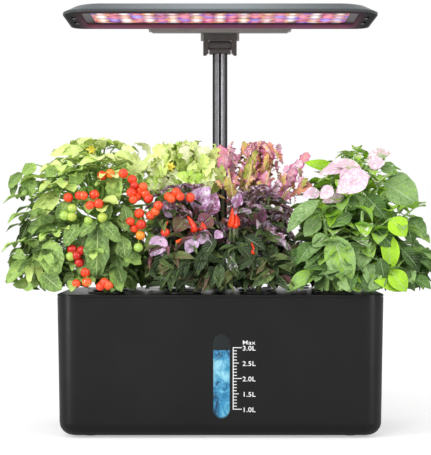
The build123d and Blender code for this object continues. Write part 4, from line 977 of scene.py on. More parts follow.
# ---- Operators: one for the stage and one for each piece or group of like pieces ----
class GARDEN_OT_stage(bpy.types.Operator):
    """Adds the camera, the pale floor and the soft studio lights"""
    bl_idname = "garden.stage"
    bl_label = "Studio"

    # name, place, target and size of each rectangular light in metres, its setting and its share
    LIGHTS = (
        ("key_box", (-0.25, -1.1, 1.35), (0, 0, 0.2), (1.3, 0.9), "key_light", 1.0),
        ("left_strip", (-1.25, -0.95, 0.5), (-0.1, 0, 0.1), (0.16, 1.2), "side_light", 1.6),
        ("right_strip", (1.25, -0.95, 0.5), (0.1, 0, 0.1), (0.16, 1.2), "side_light", 1.0),
        ("top_box", (-0.06, 0.75, 1.55), (0, 0, 0.42), (0.34, 0.7), "top_light", 1.0),
        ("glint_box", (-0.5, -1.4, 0.8), (0, 0, 0.15), (0.36, 0.36), "glint_light", 1.0),
    )
    # the worktop's size and depth under the feet, and the ring round the garden in which its white
    # is painted a little darker as shade, in metres, with the share of the lift that the painted
    # shade takes
    FLOOR_SIZE, FLOOR_DROP = 12.0, 0.2 * MM
    SHADE_FROM, SHADE_TO, SHADE = 0.25, 1.3, 0.13

    def execute(self, context):
        settings = context.scene.garden_stage
        clear_selection()
        bpy.ops.object.camera_add(location=EYE, rotation=(math.radians(90), 0, 0))
        camera = bpy.context.object
        camera.data.lens = LENS_MM
        camera.data.sensor_width = SENSOR_MM
        camera.data.clip_end = 50.0
        context.scene.camera = camera
        self.add_floor(settings)
        for name, place, target, size, setting, share in self.LIGHTS:
            self.add_light(name, place, target, size, getattr(settings, setting) * share)
        self.light_world(context, settings)
        context.scene.view_settings.view_transform = "Standard"
        return {"FINISHED"}

    @staticmethod
    def add_light(name, place, target, size, power):
        """One rectangular soft light turned to its target."""
        bpy.ops.object.light_add(type="AREA", location=place)
        light = bpy.context.object
        light.name = name
        light.rotation_mode = "QUATERNION"
        light.rotation_quaternion = (Vector(target) - Vector(place)).to_track_quat("-Z", "Y")
        light.data.shape = "RECTANGLE"
        light.data.size, light.data.size_y = size
        light.data.energy = power

    def add_floor(self, settings):
        """A matt white worktop that shows near white to the camera, a little darker round the
        garden in painted shade, and keeps the shadow.
        """
        bpy.ops.mesh.primitive_plane_add(size=self.FLOOR_SIZE, location=(0, 0, -self.FLOOR_DROP))
        floor = bpy.context.object
        floor.name = "floor"
        finish = bpy.data.materials.new("white_worktop")
        finish.use_nodes = True
        tree = finish.node_tree
        tree.nodes.clear()
        matt = add(tree, "BsdfDiffuse", {"Color": linear("#dcdcdc")})
        path = add(tree, "LightPath")
        # near the garden the lift is lower: a painted shade round it, which also lets its soft
        # shadow show
        away = add(tree, "VectorMath", {0: add(tree, "TexCoord").outputs["Object"]},
                   operation="LENGTH")
        white = add(tree, "MapRange", {"Value": away, "From Min": self.SHADE_FROM,
                                       "From Max": self.SHADE_TO,
                                       "To Min": settings.floor_lift - self.SHADE,
                                       "To Max": settings.floor_lift})
        lift = add(tree, "Emission", {"Color": linear("#ffffff"), "Strength": white})
        dark = add(tree, "Emission", {"Strength": 0.0})
        seen = add(tree, "MixShader", {0: path.outputs["Is Camera Ray"], 1: dark, 2: lift})
        add(tree, "OutputMaterial", {"Surface": add(tree, "AddShader", {0: matt, 1: seen})})
        floor.data.materials.append(finish)

    @staticmethod
    def light_world(context, settings):
        """Grey light on the garden, and white wherever the camera, gloss or glass looks past."""
        world = bpy.data.worlds.new("studio")
        world.use_nodes = True
        tree = world.node_tree
        tree.nodes.clear()
        path = add(tree, "LightPath")
        mirror = add(tree, "Math", {0: path.outputs["Is Glossy Ray"],
                                    1: path.outputs["Is Transmission Ray"]}, operation="MAXIMUM")
        looked = add(tree, "Math", {0: path.outputs["Is Camera Ray"], 1: mirror},
                     operation="MAXIMUM")
        grey, white = [add(tree, "Background", {"Color": linear("#ffffff"), "Strength": strength})
                       for strength in (settings.world_light, 1.0)]
        both = add(tree, "MixShader", {0: looked, 1: grey, 2: white})
        add(tree, "OutputWorld", {"Surface": both})
        context.scene.world = world


class GARDEN_OT_finish_rigid(bpy.types.Operator):
    """Gives every moulded, drawn and turned part of the garden its finish"""
    bl_idname = "garden.finish_rigid"
    bl_label = "Finish rigid parts"

    # ABS mouldings: name, colour, worn colour, roughness, grain and specular level, then nodes
    MOULDINGS = (
        (("textured_abs", "#0e0e0e", "#131313", 0.36, 0.5 * MM, 0.27),
         ("tank", "grow_deck", "mast_collar")),
        (("plain_abs", "#1a1a1b", "#212122", 0.38, 0.9 * MM, 0.3),
         ("mast_socket", "control_housing", "power_inlet", "button_switches", "pod_baskets",
          "pump_body", "pump_cover", "pump_rotor", "window_retainer", "friction_washers")),
        # the hinge housing and lid are a pale grey that is partly a painted reflection of the
        # white worktop in their glossy faces
        (("hinge_cover_abs", "#858583", "#93938f", 0.4, 0.6 * MM, 0.3),
         ("hinge_housing", "hinge_lid")),
        (("hinge_nylon", "#434241", "#51504e", 0.36, 0.7 * MM, 0.35), ("lamp_yoke", "mast_head")),
        (("button_abs", "#2a2a2c", "#363638", 0.25, 0.8 * MM, 0.45),
         ("light_button", "pump_button")),
        (("reflector_abs", "#2e2429", "#3c3036", 0.25, 0.8 * MM, 0.3), ("reflector",)),
    )
    # lit parts: name, how white the chips' cores are and strength, then the node
    LIT = ((("lit_solder_mask", 0.5, 1.0), "led_board"),
           (("white_silicone_dome", 0.9, 1.2), "white_leds"),
           (("red_silicone_dome", 0.35, 1.1), "red_leds"),
           (("blue_silicone_dome", 0.35, 1.1), "blue_leds"))

    def execute(self, context):
        for moulding, nodes in self.MOULDINGS:
            dress(moulded_abs(*moulding), *nodes)
        for light, node in self.LIT:
            dress(led_light(*light), node)
        dress(lamp_shell_abs(), "lamp_housing")
        dress(lit_tray_abs(), "lamp_tray")
        dress(moulded_rubber("foot_rubber", "#141413"), "rubber_feet", "window_gasket")
        dress(moulded_rubber("cable_jacket", "#101011"), "pump_cable", "mast_cable")
        dress(clear_acrylic("clear_acrylic", 0.02), "window_lens")
        dress(clear_acrylic("clear_tube", 0.08), "pump_riser")
        dress(turned_steel(), "window_screws", "board_screws", "lamp_screws", "yoke_screws",
              "tilt_pin")
        dress(circuit_board(), "control_board", "driver_board")
        dress(grow_sponge(), "grow_sponges")
        dress(fired_ceramic(), "pump_shaft")
        dress(anodised_aluminium(), "mast_tube")
        return {"FINISHED"}


class GARDEN_OT_water(bpy.types.Operator):
    """Fills the level window with water up to the level"""
    bl_idname = "garden.water"
    bl_label = "Water"

    def execute(self, context):
        settings = context.scene.garden_water
        half_width = 8.0 * MM
        thickness = 1.2 * MM
        lens_gap = 0.1 * MM
        below_middle = 40.3 * MM
        meniscus = 0.6 * MM
        round_middle = WINDOW_Z - below_middle + half_width
        clear_selection()
        bpy.ops.mesh.primitive_circle_add(
            vertices=40, radius=half_width, fill_type="NGON", rotation=(math.radians(90), 0, 0),
            location=(WINDOW_X, LENS_HIGH.y + lens_gap, round_middle))
        water = bpy.context.object
        bpy.ops.object.transform_apply(location=True, rotation=True, scale=True)
        for vertex in water.data.vertices:
            if vertex.co.z > round_middle - 1e-6:
                # the surface climbs the wall by a hair at both ends
                edge = abs(vertex.co.x - WINDOW_X) / half_width
                vertex.co.z = settings.level + meniscus * edge ** 6
        with whole_mesh(water):
            bpy.ops.mesh.extrude_region_move(
                TRANSFORM_OT_translate={"value": (0, thickness, 0)})
            bpy.ops.mesh.select_all(action="SELECT")
            bpy.ops.mesh.normals_make_consistent(inside=False)
        settle(water, "water", tank_water(settings), "base")
        return {"FINISHED"}


class GARDEN_OT_level_scale(bpy.types.Operator):
    """Prints the litre scale beside the level window"""
    bl_idname = "garden.level_scale"
    bl_label = "Level scale"

    # drawn flat, X to the right and Y up the wall from the worktop, then stood on the wall
    SPINE_X, STROKE = 12.3 * MM, 0.75 * MM
    LOW_MARK, HIGH_MARK, MAX_MARK = 29.0 * MM, 88.7 * MM, 94.3 * MM
    LONG_TICK_X, MEDIUM_TICK_X, MINOR_TICK_X = 20.6 * MM, 17.7 * MM, 15.8 * MM
    FIGURE_X, FIGURE_DROP = 21.2 * MM, 0.8 * MM
    LETTER_GAP = 1.06
    # steps of the scale, those from one long tick or middling one to the next, and its figures
    STEPS, LONG_STEPS, MEDIUM_STEPS, FIGURES = 20, 10, 5, 5
    # how far the ink stands in the wall, so that no gap shows under it
    SUNK = 0.02 * MM

    def execute(self, context):
        settings = context.scene.garden_scale
        span = self.HIGH_MARK - self.LOW_MARK
        parts = []

        def bar(x0, x1, y0, y1):
            bpy.ops.mesh.primitive_cube_add(
                size=1.0, location=((x0 + x1) / 2, (y0 + y1) / 2, settings.print_thickness / 2),
                scale=(x1 - x0, y1 - y0, settings.print_thickness))
            parts.append(bpy.context.object)

        clear_selection()
        half = self.STROKE / 2
        bar(self.SPINE_X - half, self.SPINE_X + half, self.LOW_MARK - half, self.HIGH_MARK + half)
        for order in range(self.STEPS + 1):
            height = self.LOW_MARK + span * order / self.STEPS
            end = (self.LONG_TICK_X if order % self.LONG_STEPS == 0
                   else self.MEDIUM_TICK_X if order % self.MEDIUM_STEPS == 0
                   else self.MINOR_TICK_X)
            bar(self.SPINE_X, end, height - half, height + half)
        # words, height, size as a share of the figures' height, width and boldness
        prints = [(f"{1 + order / 2:.1f}L", self.LOW_MARK + span * order / (self.FIGURES - 1),
                   1.32, 1.1, 0.05 * MM) for order in range(self.FIGURES)]
        for words, height, size, width, boldness in [
                *prints, ("Max", self.MAX_MARK, 1.15, 1.26, 0.02 * MM)]:
            bpy.ops.object.text_add(location=(self.FIGURE_X, height - self.FIGURE_DROP, 0))
            text = bpy.context.object
            text.scale.x = width
            text.data.body = words
            text.data.size = settings.print_height * size
            text.data.align_y = "CENTER"
            text.data.extrude = settings.print_thickness / 2
            text.data.offset = boldness
            text.data.space_character = self.LETTER_GAP
            pick(text)
            bpy.ops.object.convert(target="MESH")
            parts.append(bpy.context.object)
        pick(*parts)
        bpy.ops.object.join()
        scale = bpy.context.object
        bpy.ops.object.transform_apply(location=True, rotation=True, scale=True)
        scale.rotation_euler = (math.radians(90) + DRAFT, 0, 0)
        scale.location = (0, WALL_FOOT_Y - self.SUNK, 0)
        settle(scale, "level_scale", screen_ink(), "base")
        return {"FINISHED"}


class GARDEN_OT_tomatoes(bpy.types.Operator):
    """Grows both tomato plants with their leaves, trusses of fruit and flowers"""
    bl_idname = "garden.tomatoes"
    bl_label = "Tomatoes"

    # base x and z, tip x and z, width, depth y and tint of the leaves that show most, in mm
    SHOWN_LEAVES = (
        (-123, 209, -125, 153, 24, -92, 0.3), (-124, 211, -142, 196, 12, -92, 0.28),
        (-120, 211, -100, 190, 14, -90, 0.35), (-192, 259, -190, 237, 15, -40, 0.42),
        (-203, 260, -216, 244, 11, -36, 0.34), (-205, 254, -208, 236, 8, -34, 0.25),
        (-178, 252, -180, 238, 7, -46, 0.2), (-158, 268, -176, 256, 13, -50, 0.45),
        (-199, 247, -197, 231, 8, -44, 0.15), (-165, 238, -190, 212, 13, -60, 0.8),
        (-160, 236, -178, 214, 10, -64, 0.85), (-164, 241, -186, 226, 9, -58, 0.78),
        (-190, 214, -200, 190, 9, -52, 0.05), (-187, 206, -200, 176, 8, -56, 0.02),
        (-187, 177, -214, 149, 15, -70, 0.45), (-188, 174, -191, 149, 9, -74, 0.8),
        (-185, 172, -179, 149, 8, -72, 0.75), (-170, 193, -165, 155, 25, -86, 0.42),
        (-158, 213, -193, 201, 17, -76, 0.32), (-172, 186, -186, 166, 16, -80, 0.4),
        (-98, 197, -94, 165, 16, -84, 0.33), (-103, 173, -106, 148, 15, -80, 0.25),
        (-105, 259, -104, 229, 17, -70, 0.5), (-110, 230, -117, 204, 12, -84, 0.22),
        (-96, 227, -91, 200, 13, -82, 0.3), (-120, 286, -144, 295, 13, 10, 0.9),
        (-121, 285, -114, 292, 10, 8, 0.95), (-136, 283, -170, 277, 13, 4, 0.88),
        (-142, 279, -152, 266, 11, 2, 0.8), (-138, 262, -150, 244, 14, -60, 0.5),
        (-84, 220, -78, 196, 12, -78, 0.4), (-70, 200, -66, 176, 13, -76, 0.35),
        (-130, 180, -142, 158, 14, -84, 0.25), (-150, 232, -164, 214, 13, -84, 0.35),
        (-106, 278, -84, 272, 12, 0, 0.9), (-96, 272, -104, 258, 12, -30, 0.6),
        (-184, 268, -198, 258, 12, -38, 0.5), (-142, 208, -156, 186, 14, -88, 0.3),
        (-92, 258, -72, 270, 14, -20, 0.95), (-80, 262, -58, 278, 13, -10, 1.0),
        (-96, 248, -76, 258, 12, -30, 0.9), (-66, 262, -44, 280, 12, -6, 0.95),
    )
    # trusses: where each leaves its stem, then x, z and ripeness of its fruits, in mm
    TRUSSES = (
        ((-132, 246, -78), ((-152, 235, 0.8), (-141, 237, 0.85), (-137, 237, 0.75),
                            (-126, 238, 0.8), (-130, 227, 0.8), (-122, 229, 0.8))),
        ((-96, 262, -66), ((-118, 257, 0.8), (-110, 259, 0.55), (-97, 259, 0.8))),
        ((-80, 258, -70), ((-88, 253, 0.8), (-86, 247, 0.85), (-89, 240, 0.8), (-80, 242, 0.75),
                           (-75, 239, 0.8), (-77, 246, 0.7), (-83, 236, 0.8), (-72, 234, 0.85),
                           (-87, 233, 0.75))),
        ((-78, 226, -76), ((-81, 219, 0.8), (-90, 211, 0.8), (-79, 208, 0.85), (-86, 204, 0.8),
                           (-80, 197, 0.5), (-82, 185, 0.05))),
        ((-66, 228, -74), ((-70, 217, 0.75), (-65, 221, 0.65), (-62, 227, 0.8),
                           (-52, 236, 0.75), (-44, 240, 0.8), (-40, 236, 0.75), (-30, 235, 0.8))),
        ((-140, 196, -78), ((-148, 183, 1.0), (-139, 182, 0.98), (-144, 177, 0.95),
                            (-141, 170, 0.98), (-150, 176, 0.1))),
        ((-136, 168, -80), ((-135, 160, 0.8), (-144, 149, 0.75), (-134, 150, 0.7))),
        ((-112, 166, -80), ((-120, 146, 0.8), (-116, 150, 0.8), (-112, 147, 0.75))),
        ((-140, 228, -80), ((-148, 224, 0.1), (-156, 217, 0.05), (-149, 216, 0.12),
                            (-132, 212, 0.05), (-118, 215, 0.12))),
        ((-58, 206, -76), ((-55, 200, 0.8), (-49, 234, 0.7))),
    )
    # flowers, as x, z and depth y, in mm
    FLOWERS = ((-129, 283, -4), (-174, 248, -50), (-150, 252, -54), (-50, 266, -20))
    PETALS, PETAL_LENGTH, PETAL_WIDTH = 6, 6 * MM, 2.6 * MM
    # each plant, and the lean and height of its trunk, in mm
    TRUNKS = (("tomato_front", -6, 112), ("tomato_back", -10, 140))

    def execute(self, context):
        settings = context.scene.garden_plants
        draws = random.Random(settings.seed)
        low, high = room_of("tomato_front", "tomato_back")
        high.x = -20 * MM
        leaves, stems = Foliage(low, high), Stems()
        models = [leaf_model(4, 8, widest=0.44, sharpness=0.6, arch=arch, fold=0.2, ruffle=0.03,
                             waves=2.0, notch=0.3, notches=notches)
                  for arch, notches in ((0.5, 2.6), (0.9, 3.2), (1.4, 2.2))]
        trunks = []
        for node, lean, top in self.TRUNKS:
            root = root_of(node)
            points = [root, root + Vector((lean, 2, top * 0.5)) * MM,
                      root + Vector((1.6 * lean, 0, top)) * MM]
            stems.line(points, 3.0 * MM, 1.8 * MM)
            trunks.append(points)

        def trunk_point(trunk, share):
            first, second, third = trunk
            return (first.lerp(second, 2 * share) if share < 0.5
                    else second.lerp(third, 2 * share - 1))

        def branching(trunk, z):
            """Where the stalk of a leaf or truss at height z leaves its trunk."""
            return trunk_point(trunk, 0.3 + 0.6 * (z - 150) / 140)

        # the outer leaves show, and the inner ones close the gaps between them, painted darker as
        # shade
        for trunk, (node, lean, top) in zip(trunks, self.TRUNKS):
            box_low, box_high = room_of(node)
            for depth, count in ((0.88, 42), (0.55, 18)):
                for point in canopy(node, count, depth, draws):
                    climb = (point.z - box_low.z) / (box_high.z - box_low.z)
                    start = trunk_point(trunk, min(0.95, max(0.15, 0.9 * climb)))
                    base = start.lerp(point, 0.35)
                    tint = painted_daylight(point, box_low, box_high, draws) * (0.4 + 0.6 * depth)
                    compound_leaf(leaves, stems, models, base, point, draws,
                                  size=draws.uniform(14, 21) * MM, tint=tint)
                    stems.line([start, base], 1.3 * MM, 1.0 * MM)
            undergrowth(leaves, models, node, draws, count=64, lengths=(16 * MM, 30 * MM),
                        slim=0.66, tints=(0.05, 0.5))
        for x, z, y, base in show_leaves(leaves, models[:1], self.SHOWN_LEAVES, draws,
                                         forward=(0, 5), sway=0.25, tilt=(0.2, 0.5), swell=1.2):
            start = branching(trunks[0 if y < -20 else 1], z)
            stems.line([start, (start + base) / 2 + UP * 8 * MM, base], 1.2 * MM, 0.6 * MM)
        fruit, sepals = self.grow_trusses(settings, draws, low, high, stems, trunks[0], branching)
        petals = self.grow_flowers(draws, low, high, stems, trunk_point(trunks[0], 0.8))
        leaf = living_leaf(
            "tomato_leaf", settings.leaf_gloss, vein_count=7, vein="#c4d898",
            stops=((0.0, "#35491f"), (0.28, "#637f42"), (0.5, "#9abc60"), (0.72, "#cbe47c"),
                   (1.0, "#eaf8a4")),
            blush_stops=((0.3, "#d5e8a0"), (0.7, "#9fc46c")))
        skin = ripe_skin("tomato_skin", ((0.12, "#9cc85c"), (0.35, "#c9cf4e"), (0.6, "#ff9e34"),
                                         (0.78, "#ff6a34"), (0.92, "#f44a24"), (1.0, "#c8281e")))
        leaves.finish("tomato_leaves", leaf, "tomato_leaf", "tomato_front", "tomato_back")
        fruit.finish("tomatoes", skin, "tomato_leaf")
        sepals.finish("tomato_sepals", green_stem("sepal_green", "#4d7a2c", "#7fae48"),
                      "tomato_leaf")
        petals.finish("tomato_flowers", green_stem("petal_yellow", "#e8cf2a", "#f8ec62"),
                      "tomato_leaf")
        stems.finish("tomato_stems", green_stem("tomato_stem", "#5f8a38", "#9dc25c"),
                     "tomato_leaf")
        return {"FINISHED"}

    def grow_trusses(self, settings, draws, low, high, stems, trunk, branching):
        """Hangs each truss from its trunk: fruits under their sepals, on stalks from one knot."""
        fruit, sepals = Foliage(low, high), Foliage(low, high)
        globe, star = fruit_model(), calyx_model()
        for (x, z, y), fruits in self.TRUSSES:
            knot = in_sight(x, z, y + 14)
            start = branching(trunk, z)
            stems.line([start, (start + knot) / 2 + UP * 6 * MM, knot], 1.3 * MM, 0.8 * MM)
            for order, (fruit_x, fruit_z, ripe) in enumerate(fruits):
                spot = in_sight(fruit_x, fruit_z, y - 10 - 3 * (order % 3))
                radius = settings.fruit_radius * draws.uniform(0.92, 1.08)
                lean = ((knot - spot).normalized() + UP * 0.7 + wobble(draws, 0.2)).normalized()
                turn = lean.to_track_quat("Z", "Y").to_matrix().to_4x4()
                grown = Matrix.Translation(spot) @ turn @ Matrix.Scale(radius, 4)
                fruit.place(globe, grown, ripe)
                crown = Matrix.Translation(spot + lean * radius * 0.78)
                sepals.place(star, crown @ turn @ Matrix.Scale(radius * 0.85, 4), 0.5)
                stems.line([spot + lean * radius * 0.8, spot + lean * radius * 1.7, knot],
                           0.5 * MM, 0.6 * MM)
        return fruit, sepals

    def grow_flowers(self, draws, low, high, stems, start):
        """Six petals round each heart, which looks at the viewer from the end of its stalk."""
        petals = Foliage(low, high)
        petal = leaf_model(2, 4, widest=0.38, sharpness=1.0, arch=0.7, fold=0.3)
        for x, z, y in self.FLOWERS:
            heart = in_sight(x, z, y)
            aim = Vector((draws.uniform(-0.4, 0.4), -1, draws.uniform(-0.2, 0.6))).normalized()
            side = aim.cross(UP).normalized()
            over = side.cross(aim)
            for order in range(self.PETALS):
                angle = order * math.tau / self.PETALS
                way = side * math.cos(angle) + over * math.sin(angle) - aim * 0.25
                petals.leaf(petal, heart, heart + way.normalized() * self.PETAL_LENGTH, aim,
                            self.PETAL_WIDTH, draws.uniform(0.3, 0.8))
            stems.line([start, heart - aim * 8 * MM, heart], 0.9 * MM, 0.5 * MM)
        return petals


class GARDEN_OT_lettuces(bpy.types.Operator):
    """Grows the yellow-green leaf lettuce and the frilly red lettuce"""
    bl_idname = "garden.lettuces"
    bl_label = "Lettuces"

    # base x and z, tip x and z, width, depth y and tint of the leaves that show most, in mm
    SHOWN_GREEN = (
        (-40, 238, -34, 262, 18, -22, 0.4), (-24, 240, -28, 264, 18, -24, 0.35),
        (-52, 250, -66, 276, 18, -10, 0.7), (-36, 262, -40, 282, 18, 0, 0.8),
        (-12, 256, -6, 284, 20, 4, 0.75), (-84, 262, -100, 274, 16, -8, 0.7),
        (-4, 240, 0, 270, 18, -10, 0.6), (-60, 240, -74, 256, 16, -26, 0.5),
        (-10, 244, -14, 270, 16, -14, 0.6), (-28, 268, -22, 287, 16, 6, 0.9),
    )
    SHOWN_FRILLY = (
        (22, 230, 30, 276, 14, -28, 0.05), (46, 260, 50, 290, 18, -4, 0.55),
        (4, 248, 0, 288, 20, -8, 0.8), (14, 256, 10, 286, 18, 0, 0.95),
        (60, 240, 74, 266, 18, -14, 0.85), (42, 236, 46, 262, 16, -24, 0.75),
        (66, 252, 82, 272, 16, -4, 0.9), (70, 236, 92, 248, 14, -20, 0.6),
        (34, 232, 40, 252, 13, -28, 0.3), (12, 232, 6, 256, 15, -24, 0.2),
        (56, 228, 70, 240, 14, -28, 0.7), (76, 262, 88, 280, 14, 4, 0.75),
        (34, 240, 36, 284, 12, -20, 0.12), (52, 236, 60, 252, 12, -30, 0.95),
        (27, 214, 24, 262, 13, -34, 0.02), (30, 210, 36, 250, 12, -36, 0.1),
        (20, 218, 10, 250, 11, -34, 0.22), (48, 226, 66, 258, 12, -32, 0.3),
    )
    # ribs of the frilly lettuce that show, as x and z of their points, in mm
    SHOWN_RIBS = (((26, 214), (27, 240), (31, 268)), ((40, 210), (44, 236), (49, 262)),
                  ((14, 214), (12, 240), (8, 264)), ((52, 212), (60, 232), (72, 246)))

    def execute(self, context):
        settings = context.scene.garden_plants
        draws = random.Random(settings.seed + 1)
        low, high = room_of("leaf_lettuce", "tomato_back")
        leaves = Foliage(low, (7 * MM, 44 * MM, high.z))
        crisp = [leaf_model(6, 8, widest=0.62, sharpness=0.5, arch=arch, fold=0.15, ruffle=ruffle,
                            waves=waves, notch=0.34, notches=notches)
                 for arch, ruffle, waves, notches in ((1.0, 0.13, 3.0, 4.0), (1.5, 0.16, 4.0, 5.0),
                                                      (0.6, 0.12, 3.5, 3.4))]
        self.grow(leaves, crisp, "leaf_lettuce", draws,
                  inner=dict(count=40, lengths=(46 * MM, 76 * MM), widths=(18 * MM, 28 * MM),
                             tints=(0.25, 0.6)),
                  lowest=dict(count=34, lengths=(22 * MM, 36 * MM), slim=0.6, tints=(0.0, 0.3)),
                  edge_count=110, edge_depth=0.88,
                  edges=dict(lengths=(14 * MM, 24 * MM), slim=0.75, tints=(0.35, 1.0), blush=0.0),
                  top_count=64, top_across=(-102, -4), top_heights=(238, 284),
                  top=dict(lengths=(14 * MM, 24 * MM), slim=0.7, tints=(0.5, 1.1), blush=0.0))
        show_leaves(leaves, crisp, self.SHOWN_GREEN, draws, forward=(-6, 0), sway=0.3,
                    tilt=(-0.2, 0.6))
        leaf = living_leaf(
            "lettuce_leaf", settings.leaf_gloss, vein_count=6, vein="#eef8c8",
            stops=((0.0, "#6c9a28"), (0.25, "#b4e04c"), (0.6, "#e8fc90"), (1.0, "#fbffd2")),
            blush_stops=((0.3, "#f2fcc0"), (0.7, "#dcf490")))
        leaves.finish("lettuce_leaves", leaf, "lettuce_leaf", "leaf_lettuce")
        low, high = room_of("frilly_lettuce")
        frills = Foliage((-6 * MM, low.y - 8 * MM, low.z), (high.x + 26 * MM, 44 * MM, high.z))
        lobed = [leaf_model(6, 10, widest=0.68, sharpness=0.5, arch=arch, fold=0.1, ruffle=ruffle,
                            waves=waves, notch=0.6, notches=notches)
                 for arch, ruffle, waves, notches in ((0.8, 0.13, 4.0, 2.7), (1.3, 0.18, 5.0, 3.6),
                                                      (0.5, 0.12, 4.5, 2.2))]
        self.grow(frills, lobed, "frilly_lettuce", draws,
                  inner=dict(count=26, lengths=(44 * MM, 66 * MM), widths=(10 * MM, 16 * MM),
                             tints=(-0.05, 0.35)),
                  lowest=dict(count=34, lengths=(22 * MM, 36 * MM), slim=0.5, tints=(-0.2, 0.1)),
                  edge_count=104, edge_depth=0.84,
                  edges=dict(lengths=(10 * MM, 20 * MM), slim=0.55, tints=(0.1, 1.0), blush=0.4),
                  top_count=36, top_across=(-2, 84), top_heights=(232, 284),
                  top=dict(lengths=(10 * MM, 18 * MM), slim=0.6, tints=(0.1, 1.0), blush=0.4))
        show_leaves(frills, lobed, self.SHOWN_FRILLY, draws, forward=(-6, 0), sway=0.4,
                    tilt=(-0.2, 0.6))
        leaf = living_leaf(
            "frilly_leaf", settings.leaf_gloss, vein_count=6, vein="#f6e2ac", margin="#e07eb2",
            stops=((0.0, "#a4b04a"), (0.2, "#e6d878"), (0.4, "#f6be78"), (0.6, "#f49a8c"),
                   (0.8, "#f8a8cc"), (1.0, "#ffe6f6")),
            blush_stops=((0.3, "#ffe8f2"), (0.7, "#f4aed4")))
        frills.finish("frilly_lettuce_leaves", leaf, "frilly_leaf", "frilly_lettuce")
        ribs = Stems()
        for line in self.SHOWN_RIBS:
            ribs.line([in_sight(x, z, -32) for x, z in line], 1.4 * MM, 0.8 * MM)
        ribs.finish("frilly_lettuce_ribs", green_stem("lettuce_rib", "#c8a860", "#e8d898"),
                    "frilly_leaf")
        return {"FINISHED"}

    @staticmethod
    def grow(leaves, models, node, draws, inner, lowest, edge_count, edge_depth, edges, top_count,
             top_across, top_heights, top):
        """Grows one lettuce: inner leaves from its heart, the lowest ones round its foot, crisp
        edges at a depth of its dome, and a crisp top that shows between its neighbours, across
        and up to these places in mm."""
        heart = root_of(node)
        rosette(leaves, models, node, draws, **inner)
        undergrowth(leaves, models, node, draws, **lowest)
        crisp_edges(leaves, models, canopy(node, edge_count, edge_depth, draws), heart, draws,
                    **edges)
        spots = [in_sight(draws.uniform(*top_across), draws.uniform(*top_heights),
                          draws.uniform(-30, 2)) for order in range(top_count)]
        crisp_edges(leaves, models, spots, heart, draws, **top)


